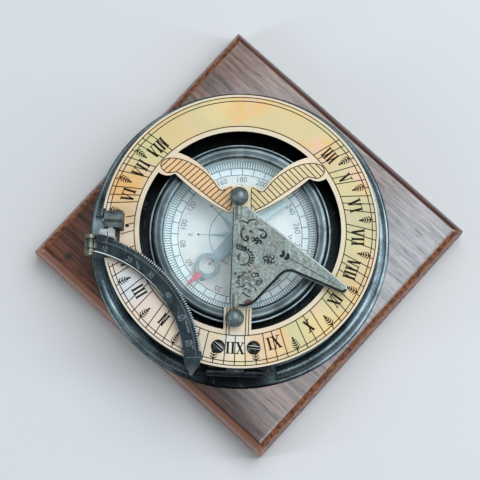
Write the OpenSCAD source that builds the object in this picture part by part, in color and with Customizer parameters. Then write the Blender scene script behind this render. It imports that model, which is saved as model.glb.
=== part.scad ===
// Sundial compass with an inclining hour dial, folded flat on its square wooden base.
// The origin is the centre of the base's underside. Z points up, the hour XII lies to -Y
// and the morning hours lie to +X.

/* [Wooden base] */
// Side of the square base
base_side = 130; // [128:1:150]
// Thickness of the base
base_h = 18; // [14:1:26]
// Width of the rounded edge, seen from above
base_edge_w = 4; // [2:0.5:6]
// Height of the rounded edge
base_edge_h = 5; // [3:0.5:8]
// Turn of the base about the vertical
base_turn = 50; // [45:1:55]
// Offset of the compass from the base's centre, along X
dial_x = -4; // [-5:0.1:5]
// Offset of the compass from the base's centre, along Y
dial_y = -0.2; // [-5:0.1:5]
// Number of wood screws that hold the case from below
base_screw_count = 3; // [3:1:6]
// Radius of a wood screw's shank
base_screw_r = 1.6; // [1.2:0.1:2]

/* [Case] */
// Radius of the flange that lies on the base
flange_r = 63.5; // [62.8:0.1:65]
// Thickness of the flange
flange_t = 1.8; // [1.4:0.1:2.4]
// Radius of the round moulding's section
bead_r = 2.7; // [2:0.1:3]
// Outer radius of the case's wall
wall_r = 56; // [55:0.1:56.4]
// Thickness of the case's wall
wall_t = 4.5; // [4:0.1:6]
// Thickness of the case's floor
floor_t = 2; // [1.5:0.1:3]
// Height of the dial's printed face above the wooden base
dial_h = 25; // [24:0.5:32]
// Width of the flat at the hour XII, where the hinge sits
hinge_flat_w = 35; // [28:1:38]

/* [Dial plate] */
// Outer radius of the hour ring
plate_r = 57.3; // [57:0.1:58]
// Inner radius of the hour ring
ring_inner_r = 41.8; // [40:0.1:43]
// Thickness of the brass plate
plate_t = 1.3; // [1:0.1:2]
// Thickness of the printed face on the plate
face_t = 0.3; // [0.2:0.1:0.5]
// Width of the strip that carries the lower post
strip_w = 11.4; // [9:0.1:14]
// Distance of the strip's free end from the dial's centre
strip_end = 32.4; // [30:0.1:33.4]
// Gap between the plate and the wall that it rests on
seat_gap = 0.1; // [0.05:0.05:0.2]

/* [Dial hinge] */
// Distance of the hinge pin from the dial's centre
hinge_y = 58.9; // [58.7:0.1:59.4]
// Radius of the hinge's knuckles
knuckle_r = 1.6; // [1.4:0.1:1.6]
// Radius of the hinge pin
hinge_pin_r = 0.7; // [0.5:0.05:0.9]
// Width of the hinge
hinge_w = 22; // [18:0.5:24]
// Width of the middle knuckle
middle_knuckle_w = 7.4; // [6:0.2:10]
// Thickness of the hinge's leaves
leaf_t = 1; // [0.8:0.1:1.2]
// Distance between the two slotted screws
dial_screw_pitch = 14.6; // [12:0.2:16]
// Distance of the slotted screws from the dial's centre
dial_screw_y = 48.6; // [48:0.1:49]
// Radius of a slotted screw's head
dial_screw_head_r = 2.85; // [2.4:0.05:3.2]

/* [Gnomon] */
// Offset of the gnomon's pivot line from the dial's centre, along X
gnomon_x = -0.9; // [-1.5:0.1:1.5]
// Distance of the upper post from the dial's centre
post_up_y = 13.3; // [12.6:0.1:14]
// Distance of the lower post from the dial's centre
post_low_y = 37.3; // [36.8:0.1:38.2]
// Radius of the posts' ball heads
ball_r = 3.85; // [3.5:0.05:4.1]
// Height of the ball's centre above the dial
ball_h = 5; // [4.8:0.1:6]
// Radius of a post's stem
stem_r = 1.9; // [1.6:0.1:2.3]
// Thickness of the gnomon
gnomon_t = 1.4; // [1:0.1:2]
// Reach of the gnomon's tip from its pivot line
gnomon_reach = 45.5; // [42:0.5:48]
// Angle between the style edge and the pivot line
style_angle = 53; // [50:1:58]
// Radius of the gnomon's pivot pins
gnomon_pin_r = 0.8; // [0.6:0.05:1]

/* [Latitude arc] */
// Outer radius of the arc, over its teeth
arc_r = 55; // [54:0.1:55.2]
// Width of the arc
arc_w = 7.5; // [6.5:0.1:7.8]
// Thickness of the arc
arc_t = 1.8; // [1.4:0.1:2.2]
// Distance of the arc's pivot line from the dial's centre
arc_axis_x = 61.5; // [61:0.1:62]
// Height of the arc's pivot line above the dial
arc_axis_h = 3.4; // [3.3:0.05:3.6]
// Radius of the arc's pivot pin
arc_pin_r = 1; // [0.7:0.05:1.1]
// Angle of one tooth on the arc's edge
tooth_step = 1.1; // [1:0.05:2.5]
// Depth of a tooth
tooth_depth = 0.9; // [0.4:0.1:1]

/* [Index] */
// Width of the index block
index_w = 7.6; // [7:0.1:8.4]
// Length of the index block
index_l = 7; // [6.6:0.1:8]
// Height of the index block's back part
index_h = 9; // [8.6:0.1:11]
// Height of the index block's front ledge
index_ledge_h = 7.6; // [7.2:0.1:8.2]
// Radius of the pawl's pin
pawl_pin_r = 0.6; // [0.5:0.05:0.7]

/* [Compass] */
// Outer radius of the bowl
bowl_r = 36.6; // [36.2:0.1:37]
// Thickness of the bowl's wall
bowl_t = 2.6; // [2.2:0.1:3]
// Height of the bezel's top above the wooden base
compass_h = 18.2; // [18:0.1:19.5]
// Width of the bezel's lip, from the bowl's outside to the opening
bezel_lip = 4.6; // [4:0.1:5.4]
// Thickness of the bezel's skirt round the bowl
bezel_wall = 1.3; // [1:0.1:2.4]
// Thickness of the glass
glass_t = 1.3; // [1:0.1:1.6]
// Depth of the card below the glass
card_depth = 6.5; // [6:0.1:7]
// Gap between the needle's red tip and the bezel's opening, seen from above
needle_gap = 0.5; // [0.3:0.1:3]
// Direction of the needle's tip, clockwise from the hour XII seen from above
needle_turn = 44; // [0:1:360]
// Thickness of the needle
needle_t = 0.5; // [0.3:0.1:0.6]

/* [Fits] */
// Radial clearance between a moving piece and its pin
run_fit = 0.05; // [0.03:0.01:0.08]
// Radial clearance of a fixed screw, rivet or ring in its hole
fix_fit = 0.02; // [0.01:0.01:0.04]
// Gap beside a moving knuckle
side_gap = 0.3; // [0.2:0.05:0.4]

/* [Hidden] */
$fn = 96;
cut = 1;                                  // overrun of a cutting shape

antique = "#3a444b";
patina = "#7f8681";
brass = "#9c8a5a";
print = "#ead9a4";
steel = "#8d9399";

// Heights above the base's underside
flange_top = base_h + flange_t;
floor_top = base_h + floor_t;
dial_top = base_h + dial_h;
face_bottom = dial_top - face_t;
plate_bottom = face_bottom - plate_t;
wall_top = plate_bottom - seat_gap;
wall_inner_r = wall_r - wall_t;

// The bead's section ends 1.5 mm inside the flange's edge
bead_centre_r = flange_r - 1.5 - bead_r;
bead_z = flange_top + bead_r;
edge_bead_r = flange_t / 2;
wall_bead_r = 0.8;
base_screw_circle_r = wall_r - 12;
base_screw_head_r = 2.2 * base_screw_r;
base_screw_head_h = 2.2;
base_recess_h = 4;
hinge_flat_y = sqrt(wall_r * wall_r - hinge_flat_w * hinge_flat_w / 4);

// Recess in the moulding for the latitude arc's bracket
arc_recess_top = 7;
arc_recess_bottom = 20.5;
arc_recess_x = wall_r + 1;

// Dial hinge
hinge_z = plate_bottom - knuckle_r - 0.2;
outer_knuckle_x = middle_knuckle_w / 2 + side_gap;
leaf_edge_y = hinge_y - knuckle_r - side_gap;
dial_leaf_inner_y = dial_screw_y - 3.6;
case_leaf_h = 14.4;
case_leaf_bottom = plate_bottom - case_leaf_h;
rivet_pitch = hinge_w - 8;
rivet_r = 0.9;
rivet_z = case_leaf_bottom + 5;
screw_shank_r = 1.2;
screw_head_h = 1.3;
screw_dome_r = 1.48 * dial_screw_head_r;
slot_turns = [-40, -4];

// Posts and gnomon
ball_z = dial_top + ball_h;
post_shank_r = 1.2;
nut_t = 1.4;
nut_r = 2.6;
pivot_bore_depth = ball_r - 0.5;
barrel_r = gnomon_t / 2 + gnomon_pin_r;
barrel_l = 5;
gnomon_top = post_up_y - ball_r - 0.6;
gnomon_bottom = -post_low_y + ball_r + 0.6;
gnomon_tip_r = 2;
gnomon_back = -2.4;
style_start = [4, gnomon_top];
style_dir = [sin(style_angle), -cos(style_angle)];
style_normal = [cos(style_angle), sin(style_angle)];
style_len = (gnomon_reach - gnomon_tip_r * (1 - style_normal[0]) - style_start[0]) / style_dir[0];
gnomon_tip = style_start + style_len * style_dir - gnomon_tip_r * style_normal;
gnomon_notch = [20.2, gnomon_tip[1] + 7];
gnomon_foot = [8, gnomon_bottom + 1.4];

// Latitude arc: raised on its pivot it is concentric with the dial hinge
arc_axis_z = dial_top + arc_axis_h;
arc_centre_x = -arc_axis_x - (arc_axis_z - hinge_z);
arc_inner_r = arc_r - arc_w;
arc_root_x = -arc_axis_x + 2.5;
arc_taper_start = 84;
arc_tip_angle = 93;
arc_knuckle_r = arc_pin_r + 1.1;
root_angle_out = asin((arc_root_x - arc_centre_x) / arc_r);
root_angle_in = asin((arc_root_x - arc_centre_x) / arc_inner_r);
ear_t = 1.5;
// The ears stand beside the knuckle, within the arc's own width
arc_knuckle_top = -hinge_y + arc_r * cos(root_angle_out) - 0.5 - ear_t;
arc_knuckle_bottom = -hinge_y + arc_inner_r * cos(root_angle_in) + 0.2 + ear_t;
bracket_t = 1.2;
bracket_foot_x = 51;
bracket_top = arc_knuckle_top + side_gap + ear_t;
bracket_bottom = arc_knuckle_bottom - side_gap - ear_t;
plate_notch_x = 55.9;

// Index block, pawl and spring
index_x = -plate_notch_x;
index_y = bracket_top + 2.9;
index_step_y = 3;
pawl_pin_y = index_y + 2.9;
pawl_pin_z = dial_top + 4;
pawl_t = 2;
pawl_slot_w = pawl_t + 2 * 0.15;
pawl_mid_x = index_x + 2.7;
// The pawl's tongue ends just short of the arc's teeth
tongue_left = index_x - 2;
tongue_right = index_x + 4.5;
tongue_back_y = index_y - 0.5;
tongue_gap = 0.35;
spring_wire_r = 0.25;
spring_x = index_x - 0.5;

// Compass
bezel_top = base_h + compass_h;
glass_top = bezel_top - 0.9;
glass_bottom = glass_top - glass_t;
card_top = glass_bottom - card_depth;
card_t = 0.5;
bowl_inner_r = bowl_r - bowl_t;
card_step_w = 3;
bowl_floor_t = 1.5;
bowl_top = glass_top - 0.3;
inner_part_r = bowl_inner_r - 0.1;
needle_z = card_top + 3.4;
cap_r = 1.9;
pivot_r = 0.6;
pivot_tip_z = needle_z + 1;
window_r = bowl_r - bezel_lip;
bezel_r = bowl_r + bezel_wall;
bowl_screw_circle_r = bowl_r - 12.6;
needle_reach = window_r - needle_gap;
ring_r = 5.2;
ring_hole_r = 3.6;
ring_at = 0.594 * needle_reach;
tail_reach = 0.79 * needle_reach;

// A point of a curved edge that starts at a, ends at c and is drawn towards b
function bend(a, b, c, t) = (1 - t) * (1 - t) * a + 2 * t * (1 - t) * b + t * t * c;
// The edge's points, in a number of equal steps
function bend_edge(a, b, c, steps) = [for (i = [0 : steps]) bend(a, b, c, i / steps)];
function polar(r, angle) = [r * cos(angle), r * sin(angle)];
function flip(points) = [for (p = points) [-p[0], p[1]]];
function backwards(points) = [for (i = [len(points) - 1 : -1 : 0]) points[i]];

module on_dial() {
    translate([dial_x, dial_y, 0]) children();
}

// A cylinder along X or along Y, centred on its length
module rod_x(r, len) {
    rotate([0, 90, 0]) cylinder(r = r, h = len, center = true);
}

module rod_y(r, len) {
    rotate([90, 0, 0]) cylinder(r = r, h = len, center = true);
}

module ring_bead(at_r, r, z) {
    translate([0, 0, z]) rotate_extrude() translate([at_r, 0]) circle(r = r, $fn = 48);
}

module box(from, to) {
    translate(from) cube(to - from);
}

module base_profile() {
    half = base_side / 2;
    // The edge is a quarter of an ellipse from the side up to the top face
    edge = [for (a = [0 : 15 : 90])
        [half - base_edge_w + base_edge_w * cos(a), base_h - base_edge_h + base_edge_h * sin(a)]];
    polygon(concat([[-half, 0], [half, 0]], edge, backwards(flip(edge))));
}

module base_bar() {
    rotate([90, 0, 0]) linear_extrude(height = base_side, center = true) base_profile();
}

module at_base_screws() {
    for (i = [0 : base_screw_count - 1]) {
        on_dial() rotate([0, 0, 90 + i * 360 / base_screw_count])
            translate([base_screw_circle_r, 0, 0]) children();
    }
}

module wooden_base() {
    color("#5a2f1c") difference() {
        rotate([0, 0, base_turn]) intersection() {
            base_bar();
            rotate([0, 0, 90]) base_bar();
        }
        at_base_screws() {
            translate([0, 0, -cut]) cylinder(r = base_screw_r + fix_fit, h = base_h + 2 * cut);
            translate([0, 0, -cut]) cylinder(r = base_screw_head_r + 0.3, h = cut + base_recess_h);
        }
    }
}

module base_screws() {
    color(steel) at_base_screws() {
        head_bottom = base_recess_h - base_screw_head_h;
        translate([0, 0, base_recess_h]) cylinder(r = base_screw_r, h = floor_top - base_recess_h - 0.3);
        difference() {
            translate([0, 0, head_bottom]) cylinder(r = base_screw_head_r, h = base_screw_head_h);
            box([-5, -0.4, head_bottom - cut], [5, 0.4, head_bottom + 0.8]);
        }
    }
}

module at_bowl_screws() {
    for (i = [0 : 2]) rotate([0, 0, 30 + i * 120]) translate([bowl_screw_circle_r, 0, 0]) children();
}

module case_body() {
    color(antique) on_dial() difference() {
        union() {
            translate([0, 0, base_h]) cylinder(r = flange_r - edge_bead_r, h = flange_t);
            ring_bead(flange_r - edge_bead_r, edge_bead_r, base_h + edge_bead_r);
            translate([0, 0, base_h]) cylinder(r = bead_centre_r, h = flange_t + bead_r);
            ring_bead(bead_centre_r, bead_r, bead_z);
            translate([0, 0, base_h]) cylinder(r = wall_r, h = wall_top - base_h);
            ring_bead(wall_r, wall_bead_r, wall_top - wall_bead_r - 0.6);
        }
        translate([0, 0, floor_top]) cylinder(r = wall_inner_r, h = dial_h);
        // flat for the hinge, and the notch that the dial's hinge leaf lies in
        box([-hinge_flat_w / 2, -flange_r - cut, flange_top],
            [hinge_flat_w / 2, -hinge_flat_y, wall_top + cut]);
        box([-hinge_w / 2 - 0.6, -wall_r - cut, plate_bottom - leaf_t - 0.2],
            [hinge_w / 2 + 0.6, -wall_inner_r + 3, wall_top + cut]);
        // recess in the moulding beside the latitude arc's pivot
        box([-flange_r - cut, -arc_recess_bottom, flange_top],
            [-arc_recess_x, arc_recess_top, wall_top + cut]);
        for (x = [-rivet_pitch / 2, rivet_pitch / 2]) {
            translate([x, -wall_r, rivet_z]) rod_y(rivet_r + fix_fit, 4 * wall_t);
        }
        at_bowl_screws() {
            translate([0, 0, base_h - cut]) cylinder(r = screw_shank_r + fix_fit, h = floor_t + 2 * cut);
            translate([0, 0, base_h - cut]) cylinder(r = 2.2, h = cut + 1);
        }
        translate([-dial_x, -dial_y, 0]) at_base_screws() {
            translate([0, 0, base_h - cut]) cylinder(r = base_screw_r + fix_fit, h = cut + floor_t - 0.2);
        }
    }
}

module hinge_knuckle(from_x, to_x) {
    translate([(from_x + to_x) / 2, -hinge_y, hinge_z]) rod_x(knuckle_r, to_x - from_x);
}

module hinge_bore() {
    translate([0, -hinge_y, hinge_z]) rod_x(hinge_pin_r + run_fit, hinge_w + 2 * cut);
}

module case_hinge_leaf() {
    face_y = -hinge_flat_y - leaf_t;
    tongue_z = hinge_z - knuckle_r;
    color(brass) on_dial() difference() {
        union() {
            box([-hinge_w / 2, face_y, case_leaf_bottom], [hinge_w / 2, -hinge_flat_y, tongue_z + leaf_t]);
            for (side = [0, 1]) mirror([side, 0, 0]) {
                hinge_knuckle(outer_knuckle_x, hinge_w / 2);
                box([outer_knuckle_x, -hinge_y, tongue_z], [hinge_w / 2, face_y, tongue_z + leaf_t]);
            }
        }
        hinge_bore();
        for (x = [-rivet_pitch / 2, rivet_pitch / 2]) {
            translate([x, face_y, rivet_z]) rod_y(rivet_r + fix_fit, 4 * leaf_t);
        }
    }
}

module case_leaf_rivets() {
    head_h = 0.8;
    head_y = -hinge_flat_y - leaf_t;
    color(brass) on_dial() for (x = [-rivet_pitch / 2, rivet_pitch / 2]) translate([x, 0, rivet_z]) {
        inner_y = -sqrt(wall_inner_r * wall_inner_r - x * x);
        shank_l = inner_y - head_y + head_h / 2;
        translate([0, inner_y - shank_l / 2, 0]) rod_y(rivet_r, shank_l);
        translate([0, head_y - head_h / 2, 0]) rod_y(1.8 * rivet_r, head_h);
    }
}

module dial_hinge_pin() {
    color(brass) on_dial() translate([0, -hinge_y, hinge_z]) {
        rod_x(hinge_pin_r, hinge_w);
        for (side = [-1, 1]) translate([side * (hinge_w / 2 + 0.4), 0, 0]) rod_x(knuckle_r - 0.3, 0.8);
    }
}

module compass_bowl() {
    color(antique) on_dial() difference() {
        translate([0, 0, floor_top]) cylinder(r = bowl_r, h = bowl_top - floor_top);
        translate([0, 0, card_top - card_t]) cylinder(r = bowl_inner_r, h = compass_h);
        translate([0, 0, floor_top + bowl_floor_t])
            cylinder(r = bowl_inner_r - card_step_w, h = compass_h);
        translate([0, 0, floor_top - cut]) cylinder(r = pivot_r + fix_fit, h = 2 * cut + bowl_floor_t);
        at_bowl_screws() {
            translate([0, 0, floor_top - cut])
                cylinder(r = screw_shank_r + fix_fit, h = cut + bowl_floor_t - 0.2);
        }
    }
}

module bowl_screws() {
    color(steel) on_dial() at_bowl_screws() {
        translate([0, 0, base_h + 0.9]) cylinder(r = screw_shank_r, h = floor_t + bowl_floor_t - 1.2);
        translate([0, 0, base_h + 0.1]) cylinder(r = 2.1, h = 0.8);
    }
}

module bezel_section() {
    skirt_bottom = bezel_top - 6;
    shoulder = bezel_top - 2.6;
    crown_r = 2;
    difference() {
        union() {
            translate([window_r, skirt_bottom]) square([bezel_r - window_r, shoulder - skirt_bottom]);
            translate([window_r, shoulder - 1])
                square([bowl_r - window_r, bezel_top - shoulder + 1 - crown_r]);
            translate([window_r + 0.9, shoulder])
                square([bowl_r - window_r - crown_r - 0.3, bezel_top - shoulder]);
            translate([bowl_r + 0.6 - crown_r, bezel_top - crown_r]) circle(r = crown_r, $fn = 48);
            translate([window_r + 0.9, bezel_top - 0.9]) circle(r = 0.9, $fn = 32);
        }
        translate([window_r - cut, skirt_bottom - cut]) square([bowl_r + run_fit - window_r + cut,
            glass_top + cut - skirt_bottom]);
    }
}

module compass_bezel() {
    color(antique) on_dial() rotate_extrude() bezel_section();
}

module compass_glass() {
    color("#bcd3dc") on_dial() translate([0, 0, glass_bottom]) cylinder(r = inner_part_r, h = glass_t);
}

module spacer_ring() {
    color(brass) on_dial() difference() {
        translate([0, 0, card_top]) cylinder(r = inner_part_r, h = glass_bottom - card_top);
        translate([0, 0, card_top - cut])
            cylinder(r = inner_part_r - 0.8, h = glass_bottom - card_top + 2 * cut);
    }
}

module compass_card() {
    color("#dfe6e6") on_dial() difference() {
        translate([0, 0, card_top - card_t]) cylinder(r = inner_part_r, h = card_t);
        translate([0, 0, card_top - card_t - cut]) cylinder(r = 1.8, h = card_t + 2 * cut);
    }
}

module pivot_post() {
    color(brass) on_dial() {
        translate([0, 0, floor_top]) cylinder(r = pivot_r, h = pivot_tip_z - 1 - floor_top);
        translate([0, 0, floor_top + bowl_floor_t])
            cylinder(r = 1.5, h = card_top - floor_top - bowl_floor_t);
        translate([0, 0, pivot_tip_z - 1]) cylinder(r1 = pivot_r, r2 = 0.08, h = 0.9);
    }
}

module needle_outline() {
    // The broad arm runs to the ring and its red tip, the tail widens to a swallow's end
    arm_end = -ring_at + ring_r - 0.8;
    difference() {
        union() {
            translate([0, -ring_at]) circle(r = ring_r);
            polygon([[0, -needle_reach], [1.6, -ring_at - ring_r + 0.4], [-1.6, -ring_at - ring_r + 0.4]]);
            polygon(concat(
                [[-2.2, arm_end], [2.2, arm_end], [3.4, -1]],
                bend_edge([3.4, 1], [2.2, 14], [5.2, tail_reach], 6), [[0, tail_reach - 3]],
                bend_edge([-5.2, tail_reach], [-2.2, 14], [-3.4, 1], 6), [[-3.4, -1]]));
            circle(r = 3.7);
        }
        translate([0, -ring_at]) circle(r = ring_hole_r);
        circle(r = cap_r - 0.3);
    }
}

module needle() {
    color("#8fa3ad") on_dial() translate([0, 0, needle_z]) rotate([0, 0, -needle_turn])
        linear_extrude(height = needle_t) needle_outline();
}

module needle_cap() {
    color(brass) on_dial() difference() {
        union() {
            translate([0, 0, needle_z - 0.5]) cylinder(r = cap_r - 0.3, h = 2);
            translate([0, 0, needle_z + needle_t]) cylinder(r = cap_r, h = 0.4);
        }
        translate([0, 0, needle_z - 0.5 - cut]) cylinder(r = pivot_r + 0.1, h = cut + 0.5);
        translate([0, 0, needle_z]) cylinder(r1 = pivot_r + 0.1, r2 = 0.15, h = 1.02);
    }
}

module wings_outline() {
    // Both arms, from the ring's inner edge to the upper post; the +X one is drawn and flipped
    root_top = polar(ring_inner_r + 1, 48.5);
    root_bottom = polar(ring_inner_r + 1, 33.5);
    top_edge = bend_edge(root_top, [16.8, 29.4], [8.8, 17], 8);
    crown = bend_edge([8.8, 17], [5.6, 19.4], [2, 18.6], 4);
    low_edge = bend_edge([5.4, 7.4], [15.6, 11.6], [28, 22.8], 6);
    lobe = bend_edge([28, 22.8], [31.6, 20.4], root_bottom, 4);
    outline = concat(low_edge, [for (i = [1 : len(lobe) - 1]) lobe[i]], top_edge,
        [for (i = [1 : len(crown) - 1]) crown[i]]);
    polygon(concat(outline, backwards(flip(outline))));
}

module plate_outline() {
    difference() {
        union() {
            difference() {
                circle(r = plate_r);
                circle(r = ring_inner_r);
            }
            wings_outline();
            translate([-strip_w / 2 + 0.3, -ring_inner_r - 1])
                square([strip_w, ring_inner_r + 1 - strip_end]);
        }
        // chord that clears the latitude arc's pivot
        translate([-plate_r - cut, -arc_recess_bottom])
            square([plate_r + cut - plate_notch_x, arc_recess_bottom + arc_recess_top]);
        for (x = [-dial_screw_pitch / 2, dial_screw_pitch / 2]) {
            translate([x, -dial_screw_y]) circle(r = screw_shank_r + fix_fit);
        }
        for (y = [post_up_y, -post_low_y]) translate([gnomon_x, y]) circle(r = post_shank_r + fix_fit);
    }
}

module at_bracket_screws() {
    for (f = [0.25, 0.75]) {
        translate([-bracket_foot_x - 2.4, bracket_bottom + f * (bracket_top - bracket_bottom), 0])
            children();
    }
}

module dial_plate() {
    color(brass) on_dial() difference() {
        translate([0, 0, plate_bottom]) linear_extrude(height = plate_t) plate_outline();
        at_bracket_screws() translate([0, 0, plate_bottom - cut])
            cylinder(r = 0.8 + fix_fit, h = plate_t + 2 * cut);
    }
}

module dial_face() {
    color(print) on_dial() difference() {
        translate([0, 0, face_bottom]) linear_extrude(height = face_t) plate_outline();
        // openings around the arc's bracket and the index block
        box([-plate_r - cut, bracket_bottom - 1.2, face_bottom - cut],
            [-bracket_foot_x + 1.4, index_y + 1, dial_top + cut]);
        box([-plate_r - cut, index_y - 0.3, face_bottom - cut],
            [index_x + index_w + 0.3, index_y + index_l + 0.3, dial_top + cut]);
    }
}

module dial_hinge_leaf() {
    color(brass) on_dial() difference() {
        union() {
            box([-hinge_w / 2, -leaf_edge_y, plate_bottom - leaf_t],
                [hinge_w / 2, -dial_leaf_inner_y, plate_bottom]);
            box([-middle_knuckle_w / 2, -hinge_y, plate_bottom - leaf_t],
                [middle_knuckle_w / 2, -leaf_edge_y, plate_bottom]);
            hinge_knuckle(-middle_knuckle_w / 2, middle_knuckle_w / 2);
        }
        hinge_bore();
        for (x = [-dial_screw_pitch / 2, dial_screw_pitch / 2]) {
            translate([x, -dial_screw_y, plate_bottom])
                cylinder(r = screw_shank_r + fix_fit, h = 4 * leaf_t, center = true);
        }
    }
}

module slotted_screw(slot_turn) {
    shank = plate_t + face_t + leaf_t + 0.4;
    translate([0, 0, -shank]) cylinder(r = screw_shank_r, h = shank + 0.2);
    difference() {
        intersection() {
            cylinder(r = dial_screw_head_r, h = screw_head_h);
            // low dome of the head
            translate([0, 0, screw_head_h - screw_dome_r]) sphere(r = screw_dome_r, $fn = 64);
        }
        rotate([0, 0, slot_turn]) box([-4, -0.4, screw_head_h - 0.7], [4, 0.4, screw_head_h + cut]);
    }
}

module dial_screws() {
    color(steel) on_dial() {
        translate([-dial_screw_pitch / 2, -dial_screw_y, dial_top]) slotted_screw(slot_turns[0]);
        translate([dial_screw_pitch / 2, -dial_screw_y, dial_top]) slotted_screw(slot_turns[1]);
    }
}

module gnomon_post(side) {
    // side is 1 where the pivot bore faces +Y and -1 where it faces -Y
    color(antique) difference() {
        union() {
            translate([0, 0, plate_bottom - nut_t - 0.4])
                cylinder(r = post_shank_r, h = plate_t + face_t + nut_t + 0.4);
            translate([0, 0, dial_top]) cylinder(r = stem_r + 1, h = 0.8);
            translate([0, 0, dial_top]) cylinder(r = stem_r, h = ball_h);
            translate([0, 0, ball_z]) sphere(r = ball_r);
        }
        translate([0, side * ball_r, ball_z]) rod_y(gnomon_pin_r + run_fit, 2 * pivot_bore_depth);
    }
}

module gnomon_post_upper() {
    on_dial() translate([gnomon_x, post_up_y, 0]) gnomon_post(-1);
}

module gnomon_post_lower() {
    on_dial() translate([gnomon_x, -post_low_y, 0]) gnomon_post(1);
}

module post_nuts() {
    color(brass) on_dial() for (y = [post_up_y, -post_low_y]) {
        translate([gnomon_x, y, plate_bottom - nut_t]) difference() {
            cylinder(r = nut_r, h = nut_t, $fn = 6);
            translate([0, 0, -cut]) cylinder(r = post_shank_r + fix_fit, h = nut_t + 2 * cut);
        }
    }
}

module gnomon_outline() {
    notch_in = gnomon_notch + [3.4, -1.4];
    notch_out = gnomon_notch + [-2.8, -3.9];
    edge_dir = (gnomon_tip - notch_in) / norm(gnomon_tip - notch_in);
    union() {
        translate(gnomon_tip) circle(r = gnomon_tip_r);
        polygon(concat(
            [[gnomon_back, gnomon_top], style_start, gnomon_tip + gnomon_tip_r * style_normal,
             gnomon_tip + gnomon_tip_r * [edge_dir[1], -edge_dir[0]]],
            bend_edge(notch_in, gnomon_notch, notch_out, 5),
            bend_edge(gnomon_foot + [1.6, 2.4], gnomon_foot, gnomon_foot + [-4, -1.2], 4),
            [[gnomon_back, gnomon_bottom]]));
    }
}

module gnomon() {
    color(patina) on_dial() translate([gnomon_x, 0, ball_z]) difference() {
        union() {
            translate([0, 0, -gnomon_t / 2]) linear_extrude(height = gnomon_t) gnomon_outline();
            translate([0, gnomon_top - barrel_l / 2, 0]) rod_y(barrel_r, barrel_l);
            translate([0, gnomon_bottom + barrel_l / 2, 0]) rod_y(barrel_r, barrel_l);
        }
        translate([0, gnomon_top, 0]) rod_y(gnomon_pin_r + fix_fit, 2 * (barrel_l - 1));
        translate([0, gnomon_bottom, 0]) rod_y(gnomon_pin_r + fix_fit, 2 * (barrel_l - 1));
    }
}

module gnomon_pins() {
    seat = barrel_l - 1.1;
    reach = 0.6 + pivot_bore_depth - 0.3;
    color(brass) on_dial() translate([gnomon_x, 0, ball_z]) {
        translate([0, gnomon_top + (reach - seat) / 2, 0]) rod_y(gnomon_pin_r, seat + reach);
        translate([0, gnomon_bottom - (reach - seat) / 2, 0]) rod_y(gnomon_pin_r, seat + reach);
    }
}

module arc_ear(from_y) {
    ear_r = arc_knuckle_r + 0.1;
    translate([-arc_axis_x, from_y + ear_t / 2, arc_axis_z]) rod_y(ear_r, ear_t);
    box([-arc_axis_x - ear_r, from_y, face_bottom], [-arc_axis_x + ear_r, from_y + ear_t, arc_axis_z]);
}

module arc_bracket() {
    color(brass) on_dial() difference() {
        union() {
            box([-arc_axis_x - arc_knuckle_r - 0.1, bracket_bottom, face_bottom],
                [-bracket_foot_x, bracket_top, face_bottom + bracket_t]);
            arc_ear(bracket_top - ear_t);
            arc_ear(bracket_bottom);
        }
        translate([-arc_axis_x, 0, arc_axis_z]) rod_y(arc_pin_r + fix_fit, 60);
        at_bracket_screws() translate([0, 0, face_bottom - cut])
            cylinder(r = 0.8 + fix_fit, h = bracket_t + 2 * cut);
    }
}

module arc_bracket_screws() {
    color(steel) on_dial() at_bracket_screws() {
        translate([0, 0, plate_bottom + 0.1]) cylinder(r = 0.8, h = plate_t + bracket_t);
        translate([0, 0, face_bottom + bracket_t]) cylinder(r = 1.4, h = 0.8);
    }
}

module arc_outline() {
    // Angles run from +Y towards +X about the arc's centre
    teeth_end = arc_taper_start - 2;
    tooth_count = floor((teeth_end - root_angle_out - 3) / tooth_step);
    first = teeth_end - tooth_count * tooth_step;
    mid_r = arc_r - arc_w / 2;
    root_r = arc_r - tooth_depth;
    teeth = [for (i = [0 : tooth_count - 1], part = [0 : 2])
        polar(part == 1 ? arc_r : root_r, 90 - first - (i + part * 0.4) * tooth_step)];
    inner = [for (i = [0 : 24]) polar(arc_inner_r,
        90 - arc_taper_start + i * (arc_taper_start - root_angle_in) / 24)];
    polygon(concat([polar(arc_r, 90 - root_angle_out), polar(arc_r, 90 - (root_angle_out + first) / 2),
        polar(arc_r, 90 - first + 0.2)], teeth,
        [polar(arc_r, 90 - teeth_end - 0.2), polar(arc_r, 90 - arc_taper_start),
         polar(arc_r - 1.2, 90 - arc_taper_start - 4), polar(mid_r - 0.6, 90 - arc_tip_angle),
         polar(arc_inner_r + 0.4, 90 - arc_taper_start - 3.4)],
        inner));
}

module latitude_arc() {
    color(antique) on_dial() difference() {
        union() {
            translate([arc_centre_x, -hinge_y, arc_axis_z - arc_t / 2])
                linear_extrude(height = arc_t) arc_outline();
            box([-arc_axis_x, arc_knuckle_bottom, arc_axis_z - arc_t / 2],
                [arc_root_x + 0.1, arc_knuckle_top, arc_axis_z + arc_t / 2]);
            translate([-arc_axis_x, (arc_knuckle_top + arc_knuckle_bottom) / 2, arc_axis_z])
                rod_y(arc_knuckle_r, arc_knuckle_top - arc_knuckle_bottom);
        }
        translate([-arc_axis_x, 0, arc_axis_z]) rod_y(arc_pin_r + run_fit, 60);
    }
}

module arc_pin() {
    head_h = 1;
    color(brass) on_dial() translate([-arc_axis_x, 0, arc_axis_z]) {
        translate([0, (bracket_top + bracket_bottom) / 2, 0])
            rod_y(arc_pin_r, bracket_top - bracket_bottom + 0.6);
        translate([0, bracket_bottom - head_h / 2, 0]) rod_y(arc_knuckle_r - 0.2, head_h);
    }
}

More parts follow.
